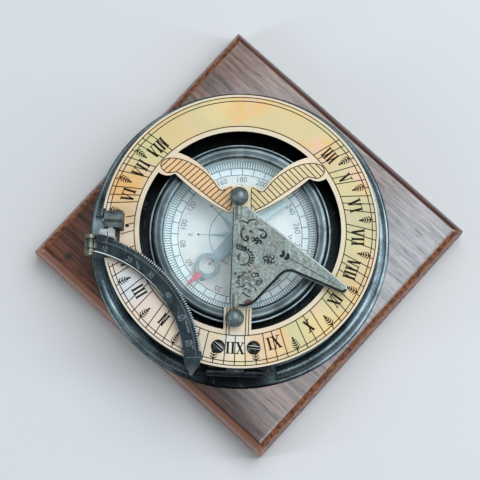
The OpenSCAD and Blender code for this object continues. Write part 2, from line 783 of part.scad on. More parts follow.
module index_profile() {
    // Section along the block: a low ledge to the front, and a tall back with a rounded top
    round_r = 2.6;
    union() {
        square([index_l - round_r, index_ledge_h]);
        translate([index_step_y, 0]) square([index_l - round_r - index_step_y, index_h]);
        square([index_l, index_h - round_r]);
        translate([index_l - round_r, index_h - round_r]) circle(r = round_r, $fn = 48);
    }
}

module index_block() {
    color(antique) on_dial() difference() {
        translate([index_x, index_y, face_bottom]) rotate([90, 0, 90])
            linear_extrude(height = index_w) index_profile();
        box([pawl_mid_x - pawl_slot_w / 2, index_y - cut, pawl_pin_z - 2.2],
            [pawl_mid_x + pawl_slot_w / 2, pawl_pin_y + 1.8, dial_top + index_ledge_h - 1]);
        translate([index_x + index_w / 2, pawl_pin_y, pawl_pin_z])
            rod_x(pawl_pin_r + fix_fit, index_w + 2 * cut);
    }
}

// The arc's outer edge at a place along X, seen from above
function arc_edge_y(x) = -hinge_y + sqrt(arc_r * arc_r - (x - arc_centre_x) * (x - arc_centre_x));

module tongue_outline() {
    // Two prongs that point at the arc's teeth, with a saw cut between them
    slit_left = tongue_left + 3.2;
    slit_right = tongue_left + 3.6;
    polygon([
        [tongue_left + 0.6, tongue_back_y], [tongue_left, tongue_back_y - 0.8],
        [tongue_left, arc_edge_y(tongue_left) + tongue_gap],
        [slit_left, arc_edge_y(slit_left) + tongue_gap], [slit_left, tongue_back_y - 1],
        [slit_right, tongue_back_y - 1], [slit_right, arc_edge_y(slit_right) + tongue_gap],
        [tongue_right, arc_edge_y(tongue_right) + tongue_gap], [tongue_right, tongue_back_y]
    ]);
}

module index_pawl() {
    tip_y = arc_edge_y(tongue_right);
    // Section along the pawl: a level lever, and a tongue that slopes down to its tip
    section = [
        [tip_y, pawl_pin_z - 1.3], [tongue_back_y, pawl_pin_z - 0.3],
        [tongue_back_y, pawl_pin_z + 1.1], [tip_y, pawl_pin_z - 0.1]
    ];
    color(steel) on_dial() difference() {
        union() {
            translate([pawl_mid_x, pawl_pin_y, pawl_pin_z]) rod_x(pawl_pin_r + 0.7, pawl_t);
            box([pawl_mid_x - pawl_t / 2, tongue_back_y - 0.1, pawl_pin_z - 0.3],
                [pawl_mid_x + pawl_t / 2, pawl_pin_y, pawl_pin_z + 1.1]);
            intersection() {
                translate([tongue_left - cut, 0, 0]) rotate([90, 0, 90])
                    linear_extrude(height = tongue_right - tongue_left + 2 * cut) polygon(section);
                translate([0, 0, pawl_pin_z - 3]) linear_extrude(height = 6) tongue_outline();
            }
        }
        translate([pawl_mid_x, pawl_pin_y, pawl_pin_z]) rod_x(pawl_pin_r + run_fit, 2 * pawl_t);
    }
}

module pawl_pin() {
    color(brass) on_dial() translate([index_x + index_w / 2 - 0.6, pawl_pin_y, pawl_pin_z])
        rod_x(pawl_pin_r, index_w + 1.2);
}

module index_spring() {
    // An eye of flat wire on the pawl's pin, with a leg that rests on the bracket
    eye_r = pawl_pin_r + fix_fit + 2 * spring_wire_r;
    leg_top = pawl_pin_z - pawl_pin_r - fix_fit - spring_wire_r;
    foot_y = bracket_top - 0.8;
    foot_z = face_bottom + bracket_t + 0.05;
    color(steel) on_dial() translate([spring_x, 0, 0]) {
        translate([0, pawl_pin_y, pawl_pin_z]) difference() {
            rod_x(eye_r, 2 * spring_wire_r);
            rod_x(pawl_pin_r + fix_fit, 4 * spring_wire_r);
        }
        rotate([90, 0, 90]) linear_extrude(height = 2 * spring_wire_r, center = true)
            polygon([[foot_y, foot_z], [foot_y + 0.6, foot_z], [pawl_pin_y, leg_top - spring_wire_r],
                [pawl_pin_y, leg_top + 0.1]]);
    }
}

wooden_base();
base_screws();
case_body();
case_hinge_leaf();
case_leaf_rivets();
dial_hinge_pin();
compass_bowl();
bowl_screws();
compass_bezel();
compass_glass();
spacer_ring();
compass_card();
pivot_post();
needle();
needle_cap();
dial_plate();
dial_face();
dial_hinge_leaf();
dial_screws();
gnomon_post_upper();
gnomon_post_lower();
post_nuts();
gnomon();
gnomon_pins();
arc_bracket();
arc_bracket_screws();
latitude_arc();
arc_pin();
index_block();
index_pawl();
pawl_pin();
index_spring();
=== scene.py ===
"""Finishes, printed marks, engravings, camera and light for the folding sundial compass."""

import logging
import math
from dataclasses import dataclass, field
from enum import Enum

import bmesh
import bpy
import numpy as np
from mathutils import Matrix, Vector


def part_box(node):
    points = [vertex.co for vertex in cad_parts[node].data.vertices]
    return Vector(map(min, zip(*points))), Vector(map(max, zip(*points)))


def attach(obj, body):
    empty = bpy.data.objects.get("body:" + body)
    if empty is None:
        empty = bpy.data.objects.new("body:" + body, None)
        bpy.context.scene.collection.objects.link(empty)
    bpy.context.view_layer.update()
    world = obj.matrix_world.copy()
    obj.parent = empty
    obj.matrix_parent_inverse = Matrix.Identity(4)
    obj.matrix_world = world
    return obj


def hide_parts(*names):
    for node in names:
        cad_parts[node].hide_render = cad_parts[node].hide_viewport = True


LOG = logging.getLogger("sundial_compass")
MM = 0.001

Flat = tuple[float, float]
Place = tuple[float, float, float]
Colour = tuple[float, float, float]
Stops = tuple[tuple[float, Colour], ...]
Faces = list[list[int]]
Socket = bpy.types.NodeSocket
Value = Socket | float
Tint = Socket | Colour

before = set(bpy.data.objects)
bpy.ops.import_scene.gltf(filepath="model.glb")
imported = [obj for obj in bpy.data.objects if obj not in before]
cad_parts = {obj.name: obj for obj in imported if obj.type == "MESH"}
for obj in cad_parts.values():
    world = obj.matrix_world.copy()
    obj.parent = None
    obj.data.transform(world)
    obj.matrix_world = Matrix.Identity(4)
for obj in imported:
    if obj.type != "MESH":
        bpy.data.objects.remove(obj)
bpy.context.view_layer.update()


def corners(node: str) -> tuple[np.ndarray, np.ndarray]:
    """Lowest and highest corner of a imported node, in millimetres."""
    low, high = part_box(node)
    return np.array(low) / MM, np.array(high) / MM


def middle_of(node: str) -> np.ndarray:
    """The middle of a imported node's box, in millimetres."""
    return sum(corners(node)) / 2


# Places that the marks and finishes share, in millimetres
DIAL = middle_of("compass_glass")[:2]
DIAL_AXIS = (DIAL[0] * MM, DIAL[1] * MM, 0.0)
FACE_Z = corners("dial_face")[1][2]
CARD_Z = corners("compass_card")[1][2]
ARC_AXIS_Z = FACE_Z + 3.4
ARC_Z = FACE_Z + 4.3
BLADE_Z = FACE_Z + 5.7
PIVOT = middle_of("arc_pin")
HINGE = middle_of("dial_hinge_pin")
BASE_TURN = 50.0

# Engraved lines reach this far below their flat, so that no gap shows under them
SINK = 0.01
# Edges that bend less than this many degrees are shaded smooth
EASED_CREASE = 30.0
BASE_CREASE = 32.0
# Packed corners nearer than this many metres are one corner
MERGE = 2e-6


class Body(Enum):
    """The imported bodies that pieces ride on."""

    CASE = "case"
    DIAL = "dial"
    GNOMON = "gnomon"
    ARC = "arc"


class Shelf:
    """Node helper: puts shader nodes on one tree and links them."""

    def __init__(self, tree: bpy.types.NodeTree) -> None:
        """Keeps the tree that the nodes go into."""
        self.tree = tree

    def plug(self, socket: Socket, value: Value | Place) -> None:
        """Links another socket to an input, or sets the input's constant.

        Args:
            socket: the input.
            value: a socket to link, or a constant; a colour gets its fourth number here.
        """
        if isinstance(value, Socket):
            self.tree.links.new(value, socket)
        elif socket.type == "RGBA":
            socket.default_value = (*value, 1.0)
        else:
            socket.default_value = value

    def put(self, kind: str, inputs: dict | None = None, **settings: object) -> bpy.types.Node:
        """Adds one node.

        Args:
            kind: the node's type, without the ShaderNode prefix.
            inputs: socket names or numbers, with a constant or a socket to link.
            settings: properties of the node.

        Returns:
            The new node.
        """
        node = self.tree.nodes.new("ShaderNode" + kind)
        for name, value in settings.items():
            setattr(node, name, value)
        for key, value in (inputs or {}).items():
            self.plug(node.inputs[key], value)
        return node

    def place(self) -> Socket:
        """The object's own coordinates, in metres."""
        return self.put("TexCoord").outputs["Object"]

    def stretch(self, where: Socket, share: float) -> Socket:
        """Coordinates squeezed along Y, so that a pattern on them runs long that way."""
        return self.put("Mapping", {"Vector": where, "Scale": (1.0, share, 1.0)}).outputs[0]

    def noise(self, where: Socket, scale: Value, detail: float = 4.0, rough: float = 0.55,
              bend: float = 0.0) -> Socket:
        """A noise value between 0 and 1 at a given scale per metre."""
        return self.put("TexNoise", {"Vector": where, "Scale": scale, "Detail": detail,
                                     "Roughness": rough, "Distortion": bend}).outputs[0]

    def math(self, operation: str, a: Value, b: Value = 0.0, clamp: bool = False) -> Socket:
        """The result of a Math node."""
        return self.put("Math", {0: a, 1: b}, operation=operation, use_clamp=clamp).outputs[0]

    def blend(self, a: Socket, share_a: float, b: Socket, share_b: float) -> Socket:
        """The sum of two values, each times its share."""
        return self.math("ADD", self.math("MULTIPLY", a, share_a),
                         self.math("MULTIPLY", b, share_b))

    def span(self, value: Socket, low: Value, high: Value, out_low: float = 0.0,
             out_high: float = 1.0) -> Socket:
        """A value carried smoothly from one range to another, and held at its ends.

        Args:
            value: the value.
            low: the first range's low end.
            high: the first range's high end.
            out_low: the second range's low end.
            out_high: the second range's high end.

        Returns:
            The carried value.
        """
        return self.put("MapRange", {"Value": value, "From Min": low, "From Max": high,
                                     "To Min": out_low, "To Max": out_high},
                        interpolation_type="SMOOTHSTEP").outputs[0]

    def mix(self, share: Value, a: Tint, b: Tint, way: str = "MIX") -> Socket:
        """Two colours mixed by a share."""
        return self.put("Mix", {0: share, 6: a, 7: b}, data_type="RGBA", blend_type=way).outputs[2]

    def ramp(self, value: Socket, stops: Stops) -> Socket:
        """A colour read from a row of stops.

        Args:
            value: where on the row, from 0 to 1.
            stops: places on the row, each with its colour.

        Returns:
            The colour.
        """
        node = self.put("ValToRGB", {0: value})
        band = node.color_ramp
        while len(band.elements) < len(stops):
            band.elements.new(0.5)
        for element, (at, colour) in zip(band.elements, stops):
            element.position = at
            element.color = (*colour, 1.0)
        return node.outputs[0]

    def bump(self, height: Socket, distance: float, strength: float = 1.0,
             normal: Socket | None = None) -> Socket:
        """A normal that a height bends.

        Args:
            height: the height, from 0 to 1.
            distance: how far a height of 1 stands out, in metres.
            strength: the share of the bend that is kept.
            normal: the normal to start from, if not the surface's own.

        Returns:
            The bent normal.
        """
        inputs = {"Height": height, "Distance": distance, "Strength": strength}
        if normal is not None:
            inputs["Normal"] = normal
        return self.put("Bump", inputs).outputs[0]

    def around(self, where: Socket, centre: Place) -> tuple[Socket, Socket]:
        """Cylinder coordinates about an upright axis.

        Args:
            where: the coordinates.
            centre: a point on the axis, in metres.

        Returns:
            The distance from the axis and the height, in metres.
        """
        moved = self.put("Mapping", {"Vector": where, "Location": tuple(-c for c in centre)})
        parts = self.put("SeparateXYZ", {0: moved.outputs[0]}).outputs
        flat = self.put("CombineXYZ", {0: parts[0], 1: parts[1], 2: 0.0}).outputs[0]
        length = self.put("VectorMath", {0: flat}, operation="LENGTH").outputs["Value"]
        return length, parts[2]

    def away(self, where: Socket, point: Place) -> Socket:
        """Distance in metres from a point given in millimetres."""
        spot = tuple(v * MM for v in point)
        return self.put("VectorMath", {0: where, 1: spot}, operation="DISTANCE").outputs["Value"]


Start = tuple[bpy.types.NodeTree, Shelf, bpy.types.NodeOutputs, bpy.types.NodeInputs]


class Effect(Enum):
    """Node groups that several finishes share."""

    WEAR = "edge_wear"
    BLOTCH = "tarnish"
    TURNED = "turning_marks"
    SCRATCH = "fine_scratches"


@dataclass
class EffectRack:
    """Builds each shared effect once and places it in materials."""

    made: dict[Effect, bpy.types.NodeTree] = field(default_factory=dict)

    def group(self, effect: Effect) -> bpy.types.NodeTree:
        """The node group of an effect, made the first time it is asked for.

        Args:
            effect: which effect.

        Returns:
            The group's tree.
        """
        if effect not in self.made:
            makers = {Effect.WEAR: self._wear, Effect.BLOTCH: self._blotch,
                      Effect.TURNED: self._turned, Effect.SCRATCH: self._scratch}
            self.made[effect] = makers[effect]()
        return self.made[effect]

    def use(self, shelf: Shelf, effect: Effect, **inputs: Value) -> bpy.types.Node:
        """Places an effect in a material.

        Args:
            shelf: the material's node helper.
            effect: which effect.
            inputs: values of the group's inputs, with _ for a space.

        Returns:
            The group node.
        """
        node = shelf.put("Group", node_tree=self.group(effect))
        feed(shelf, node, **inputs)
        return node

    @staticmethod
    def _start(effect: Effect, inputs: dict[str, float], outputs: dict[str, str]) -> Start:
        """Starts an empty group with its named sockets.

        Args:
            effect: which effect; its value names the group.
            inputs: input names with their first values.
            outputs: output names with their socket types.

        Returns:
            The tree, its node helper, the inputs' outlets and the outputs' inlets.
        """
        tree = bpy.data.node_groups.new(effect.value, "ShaderNodeTree")
        for socket, value in inputs.items():
            made = tree.interface.new_socket(socket, in_out="INPUT", socket_type="NodeSocketFloat")
            made.default_value = value
        for socket, kind in outputs.items():
            tree.interface.new_socket(socket, in_out="OUTPUT", socket_type=kind)
        source = tree.nodes.new("NodeGroupInput")
        sink = tree.nodes.new("NodeGroupOutput")
        return tree, Shelf(tree), source.outputs, sink.inputs

    def _wear(self) -> bpy.types.NodeTree:
        """Edges rubbed bright: the rounded normal and the true one part where an edge is near.

        Returns:
            The group, which puts out the mask and the rounded normal.
        """
        tree, shelf, given, out = self._start(
            Effect.WEAR, {"Radius": 0.0003, "Amount": 0.6, "Grain": 900.0},
            {"Mask": "NodeSocketFloat", "Normal": "NodeSocketVector"})
        soft = shelf.put("Bevel", {"Radius": given["Radius"]}, samples=6).outputs[0]
        true = shelf.put("NewGeometry").outputs["Normal"]
        facing = shelf.put("VectorMath", {0: soft, 1: true}, operation="DOT_PRODUCT")
        edge = shelf.span(shelf.math("SUBTRACT", 1.0, facing.outputs["Value"]), 0.01, 0.14)
        grain = shelf.noise(shelf.place(), given["Grain"], 5.0, 0.65)
        broken = shelf.math("MULTIPLY", edge, shelf.span(grain, 0.36, 0.62))
        shelf.plug(out["Mask"], shelf.math("MULTIPLY", broken, given["Amount"], True))
        shelf.plug(out["Normal"], soft)
        return tree

    def _blotch(self) -> bpy.types.NodeTree:
        """Tarnish: two sizes of clouds, the small one breaking the edge of the large one.

        Returns:
            The group, which puts out the mask and the small clouds.
        """
        tree, shelf, given, out = self._start(
            Effect.BLOTCH, {"Scale": 120.0, "Contrast": 0.16},
            {"Mask": "NodeSocketFloat", "Fine": "NodeSocketFloat"})
        where = shelf.place()
        large = shelf.noise(where, given["Scale"], 6.0, 0.62, 0.4)
        small = shelf.noise(where, 1500.0, 3.0, 0.6)
        low = shelf.math("SUBTRACT", 0.5, given["Contrast"])
        high = shelf.math("ADD", 0.5, given["Contrast"])
        shelf.plug(out["Mask"], shelf.span(shelf.blend(large, 0.75, small, 0.25), low, high))
        shelf.plug(out["Fine"], small)
        return tree

    def _turned(self) -> bpy.types.NodeTree:
        """Lathe marks: noise over the distance from the dial's axis, the same all the way round.

        Returns:
            The group, which puts out the marks.
        """
        tree, shelf, given, out = self._start(
            Effect.TURNED, {"Pitch": 5200.0}, {"Mask": "NodeSocketFloat"})
        radius, height = shelf.around(shelf.place(), DIAL_AXIS)
        where = shelf.put("CombineXYZ", {0: radius, 1: height, 2: 0.0}).outputs[0]
        shelf.plug(out["Mask"], shelf.noise(where, given["Pitch"], 2.0, 0.5))
        return tree

    def _scratch(self) -> bpy.types.NodeTree:
        """Hair scratches: thin cell borders of a stretched pattern, kept where a noise is high.

        Returns:
            The group, which puts out the scratches.
        """
        tree, shelf, given, out = self._start(
            Effect.SCRATCH, {"Scale": 140.0, "Turn": 0.6}, {"Mask": "NodeSocketFloat"})
        spin = shelf.put("CombineXYZ", {0: 0.0, 1: 0.0, 2: given["Turn"]}).outputs[0]
        laid = shelf.put("Mapping", {"Vector": shelf.place(), "Rotation": spin,
                                     "Scale": (1.0, 0.12, 1.0)}).outputs[0]
        cells = shelf.put("TexVoronoi", {"Vector": laid, "Scale": given["Scale"],
                                         "Randomness": 1.0}, feature="DISTANCE_TO_EDGE")
        line_mask = shelf.span(cells.outputs["Distance"], 0.0, 0.035, 1.0, 0.0)
        kept = shelf.span(shelf.noise(shelf.place(), 260.0), 0.5, 0.62)
        shelf.plug(out["Mask"], shelf.math("MULTIPLY", line_mask, kept))
        return tree


RACK = EffectRack()


def blank_material(name: str) -> tuple[bpy.types.Material, Shelf, bpy.types.Node]:
    """Makes an empty material.

    Args:
        name: the material's name.

    Returns:
        The material, its node helper and its Principled shader.
    """
    material = bpy.data.materials.new(name)
    material.use_nodes = True
    return material, Shelf(material.node_tree), material.node_tree.nodes["Principled BSDF"]


def feed(shelf: Shelf, node: bpy.types.Node, **inputs: Value | Colour) -> None:
    """Sets or links a node's own sockets, with _ for a space in their names."""
    for name, value in inputs.items():
        shelf.plug(node.inputs[name.replace("_", " ")], value)


@dataclass(frozen=True)
class MetalFinish:
    """A tarnished, rubbed metal.

    Edge, dents and patches are in millimetres. Each band, painted shade about the dial's axis, is
    a distance from that axis in metres with the tone there, and each patch, a stain or painted
    shade, is a point, its reach and its deep and pale colour.
    """

    name: str
    dark: Colour
    light: Colour
    worn: Colour
    metallic: float = 0.9
    smooth: float = 0.3
    rough: float = 0.5
    edge: float = 0.3
    wear: float = 0.7
    clouds: float = 120.0
    turned: float = 0.0
    scratched: float = 0.3
    spots: Colour | None = None
    spot_scale: float = 90.0
    dents: float = 0.03
    grain: float = 0.0
    bands: tuple[Flat, ...] = ()
    patches: tuple[tuple[float, float, float, float, Colour, Colour], ...] = ()

    def spotted(self, shelf: Shelf, colour: Socket) -> Socket:
        """Adds rust spots, and grain as wide dark clouds under fine bright flecks.

        Args:
            shelf: the material's node helper.
            colour: the metal's colour so far.

        Returns:
            The spotted colour.
        """
        where = shelf.place()
        if self.spots is not None:
            rust = shelf.noise(where, self.spot_scale, 5.0, 0.6, 0.6)
            colour = shelf.mix(shelf.span(rust, 0.56, 0.68, 0.0, 0.75), colour, self.spots)
        if self.grain > 0:
            wide = shelf.noise(where, 110.0, 4.0, 0.6, 0.4)
            colour = shelf.mix(shelf.span(wide, 0.40, 0.62, 0.0, self.grain), colour, self.dark)
            flecks = shelf.noise(where, 2600.0, 2.0, 0.8)
            colour = shelf.mix(shelf.span(flecks, 0.55, 0.70, 0.0, self.grain), colour, self.worn)
        return colour

    def toned(self, shelf: Shelf, colour: Socket, tarnish: bpy.types.Node) -> Socket:
        """Paints shade in rings about the dial's axis, and stains or painted shade in uneven
        patches round points.

        Args:
            shelf: the material's node helper.
            colour: the metal's colour so far.
            tarnish: the tarnish group's node.

        Returns:
            The shaded colour.
        """
        if self.bands:
            radius, _ = shelf.around(shelf.place(), DIAL_AXIS)
            reach = self.bands[-1][0] + 0.0005
            stops = tuple((at / reach, (tone,) * 3) for at, tone in self.bands)
            painted_shade_tones = shelf.ramp(shelf.math("DIVIDE", radius, reach), stops)
            colour = shelf.mix(1.0, colour, painted_shade_tones, "MULTIPLY")
        for *point, reach, deep, pale in self.patches:
            uneven = shelf.math("MULTIPLY", tarnish.outputs["Fine"], 0.28 * reach * MM)
            away = shelf.math("ADD", shelf.away(shelf.place(), tuple(point)), uneven)
            share = shelf.span(away, reach * 0.5 * MM, reach * MM, 1.0, 0.0)
            colour = shelf.mix(share, colour, shelf.mix(tarnish.outputs["Mask"], deep, pale))
        return colour

    def build(self) -> bpy.types.Material:
        """Makes the material: tarnish clouds, lathe marks, hair scratches and bright edges.

        Returns:
            The material.
        """
        material, shelf, shader = blank_material(self.name)
        tarnish = RACK.use(shelf, Effect.BLOTCH, Scale=self.clouds)
        wear = RACK.use(shelf, Effect.WEAR, Radius=self.edge * MM, Amount=self.wear)
        scratch = RACK.use(shelf, Effect.SCRATCH)
        colour = shelf.mix(tarnish.outputs["Mask"], self.dark, self.light)
        colour = self.spotted(shelf, colour)
        height = shelf.math("MULTIPLY", tarnish.outputs["Fine"], 0.6)
        if self.turned > 0:
            marks = RACK.use(shelf, Effect.TURNED).outputs["Mask"]
            colour = shelf.mix(shelf.span(marks, 0.4, 0.7, 0.0, self.turned), colour, self.light)
            height = shelf.math("ADD", height, shelf.math("MULTIPLY", marks, self.turned))
        colour = self.toned(shelf, colour, tarnish)
        scratches = shelf.math("MULTIPLY", scratch.outputs["Mask"], self.scratched)
        rubbed = shelf.math("MAXIMUM", wear.outputs["Mask"], scratches)
        gloss = shelf.span(tarnish.outputs["Fine"], 0.3, 0.7, self.smooth, self.rough)
        gloss = shelf.math("SUBTRACT", gloss, shelf.math("MULTIPLY", rubbed, 0.08), True)
        feed(shelf, shader, Base_Color=shelf.mix(rubbed, colour, self.worn),
             Metallic=self.metallic, Roughness=gloss,
             Normal=shelf.bump(height, self.dents * MM, 0.7, wear.outputs["Normal"]))
        return material


@dataclass(frozen=True)
class InkFinish:
    """Flat printing ink with small gaps, laid on a printed sheet."""

    name: str
    colour: Colour
    faded: Colour
    rough: float = 0.5

    def build(self) -> bpy.types.Material:
        """Makes the material: ink that fades in small clouds.

        Returns:
            The material.
        """
        material, shelf, shader = blank_material(self.name)
        where = shelf.place()
        fade = shelf.span(shelf.noise(where, 350.0, 5.0, 0.6), 0.45, 0.75, 0.0, 0.8)
        feed(shelf, shader, Base_Color=shelf.mix(fade, self.colour, self.faded),
             Roughness=self.rough, Specular_IOR_Level=0.2,
             Normal=shelf.bump(shelf.noise(where, 4000.0, 2.0), 0.000003, 0.3))
        return material


@dataclass(frozen=True)
class PrintedFaceFinish:
    """The hour ring's lacquered print: cream and yellow with peach and orange clouds.

    Each stain is x and y from the dial's middle and its reach, in millimetres, with its tint
    and share. Other spans are in metres from the dial's axis, or along the way that bleaches.
    """

    name: str = "printed_hour_face"
    ground: Stops = (
        (0.32, (0.60, 0.57, 0.27)), (0.43, (0.63, 0.53, 0.25)), (0.52, (0.67, 0.53, 0.26)),
        (0.60, (0.78, 0.48, 0.16)), (0.68, (0.72, 0.51, 0.29)))
    blush: Colour = (0.76, 0.50, 0.33)
    bleached: Colour = (0.79, 0.68, 0.58)
    left_arm: tuple[Colour, Colour] = ((0.80, 0.58, 0.40), (0.78, 0.64, 0.48))
    right_arm: tuple[Colour, Colour] = ((0.76, 0.64, 0.42), (0.80, 0.66, 0.48))
    # Pale rims; on the outer rim the tint is partly a painted highlight of the glossy bevelled
    # edge.
    rim: Colour = (0.74, 0.63, 0.49)
    speck: Colour = (0.42, 0.34, 0.17)
    bleach_way: Flat = (-0.72, -0.55)
    bleach_span: Flat = (0.030, 0.066)
    arms_end: Flat = (0.0405, 0.0425)
    ring_start: Flat = (0.0412, 0.0418)
    inner_rim: Flat = (0.0433, 0.0437)
    outer_rim: Flat = (0.0562, 0.0566)
    arms_part: float = 0.004
    stains: tuple[tuple[float, float, float, Colour, float], ...] = (
        (-49.0, 17.0, 10.0, (0.74, 0.4, 0.12), 0.95),
        (-48.0, 5.0, 8.0, (0.68, 0.46, 0.22), 0.85),
        (20.0, 50.0, 9.0, (0.7, 0.56, 0.25), 0.6),
        (-12.0, 51.0, 9.0, (0.76, 0.6, 0.27), 0.6),
        (-44.0, -24.0, 9.5, (0.6, 0.67, 0.72), 0.75),
        (-37.0, -32.0, 5.5, (0.78, 0.6, 0.57), 0.7),
        (0.0, -47.0, 7.5, (0.72, 0.76, 0.74), 0.75),
        (1.5, -54.0, 6.0, (0.82, 0.66, 0.33), 0.6),
        (16.0, -48.0, 6.5, (0.82, 0.55, 0.25), 0.6),
        (34.0, -38.0, 9.0, (0.84, 0.6, 0.24), 0.6),
        (-30.0, 42.0, 9.0, (0.7, 0.5, 0.2), 0.55),
        (50.0, 8.0, 11.0, (0.52, 0.47, 0.25), 0.8),
        (48.0, -14.0, 8.0, (0.6, 0.5, 0.26), 0.65))

    def ground_colour(self, shelf: Shelf, where: Socket, clouds: Socket) -> Socket:
        """The ring's clouds, bleached towards the lower left, with the stains over them.

        Args:
            shelf: the material's node helper.
            where: the coordinates.
            clouds: the wide noise.

        Returns:
            The colour.
        """
        colour = shelf.ramp(clouds, self.ground)
        blush = shelf.span(shelf.noise(where, 75.0, 4.0, 0.6, 0.5), 0.53, 0.66, 0.0, 0.75)
        colour = shelf.mix(blush, colour, self.blush)
        parts = shelf.put("SeparateXYZ", {0: where}).outputs
        lean = shelf.blend(parts[0], self.bleach_way[0], parts[1], self.bleach_way[1])
        lean = shelf.math("ADD", lean, shelf.math("MULTIPLY", shelf.noise(where, 60.0), 0.03))
        bleach = shelf.span(lean, *self.bleach_span, 0.0, 0.85)
        colour = shelf.mix(bleach, colour, self.bleached)
        uneven = shelf.math("MULTIPLY", shelf.noise(where, 110.0, 4.0, 0.6), 0.012)
        for x, y, reach, tint, share in self.stains:
            away = shelf.away(where, (DIAL[0] + x, DIAL[1] + y, FACE_Z))
            away = shelf.math("ADD", away, uneven)
            cover = shelf.span(away, reach * 0.55 * MM + 0.004, reach * MM + 0.007, share, 0.0)
            colour = shelf.mix(cover, colour, tint)
        return colour

    def build(self) -> bpy.types.Material:
        """Makes the material; the rims and the two arms each have their own tint, the outer rim's
        partly a painted highlight.

        Returns:
            The material.
        """
        material, shelf, shader = blank_material(self.name)
        where = shelf.place()
        radius, _ = shelf.around(where, DIAL_AXIS)
        clouds = shelf.noise(where, 40.0, 4.0, 0.58, 0.4)
        colour = self.ground_colour(shelf, where, clouds)
        cloudy = shelf.span(clouds, 0.4, 0.6)
        across = shelf.put("SeparateXYZ", {0: where}).outputs[0]
        side = shelf.span(across, DIAL_AXIS[0] - self.arms_part, DIAL_AXIS[0] + self.arms_part)
        arm = shelf.mix(side, shelf.mix(cloudy, *self.left_arm),
                        shelf.mix(cloudy, *self.right_arm))
        colour = shelf.mix(shelf.span(radius, *self.arms_end, 0.85, 0.0), colour, arm)
        # Pale rims inside and out, the outer one partly a painted highlight on the bevelled edge.
        rim = shelf.math("ADD", shelf.span(radius, *self.outer_rim),
                         shelf.span(radius, *self.inner_rim, 1.0, 0.0))
        rim = shelf.math("MULTIPLY", rim, shelf.span(radius, *self.ring_start))
        colour = shelf.mix(shelf.math("MULTIPLY", rim, 0.75), colour, self.rim)
        specks = shelf.span(shelf.noise(where, 900.0, 2.0, 0.7), 0.68, 0.76, 0.0, 0.5)
        feed(shelf, shader, Base_Color=shelf.mix(specks, colour, self.speck),
             Roughness=shelf.span(shelf.noise(where, 500.0), 0.3, 0.7, 0.30, 0.46),
             Coat_Weight=0.2, Coat_Roughness=0.15, Specular_IOR_Level=0.35,
             Normal=shelf.bump(shelf.noise(where, 1400.0, 3.0), 0.00002, 0.5))
        return material


@dataclass(frozen=True)
class CardFinish:
    """The compass card's pale sheet with its blue-grey scale band; spans are in metres."""

    name: str = "compass_card_sheet"
    sheet: tuple[Colour, Colour] = ((0.55, 0.575, 0.56), (0.66, 0.635, 0.605))
    band: tuple[Colour, Colour] = ((0.30, 0.43, 0.475), (0.38, 0.52, 0.555))
    centre: Colour = (0.55, 0.68, 0.66)
    band_start: Flat = (0.0288, 0.0291)
    centre_end: Flat = (0.011, 0.0135)

    def build(self) -> bpy.types.Material:
        """Makes the material: a pale sheet, greyer outside the ring of boxes.

        Returns:
            The material.
        """
        material, shelf, shader = blank_material(self.name)
        where = shelf.place()
        radius, _ = shelf.around(where, DIAL_AXIS)
        sheet = shelf.mix(shelf.span(shelf.noise(where, 70.0, 5.0), 0.35, 0.65), *self.sheet)
        band = shelf.mix(shelf.span(shelf.noise(where, 90.0), 0.35, 0.65), *self.band)
        colour = shelf.mix(shelf.span(radius, *self.band_start), sheet, band)
        centre = shelf.span(radius, *self.centre_end, 0.35, 0.0)
        feed(shelf, shader, Base_Color=shelf.mix(centre, colour, self.centre), Roughness=0.6,
             Normal=shelf.bump(shelf.noise(where, 2500.0, 3.0), 0.00002, 0.4))
        return material


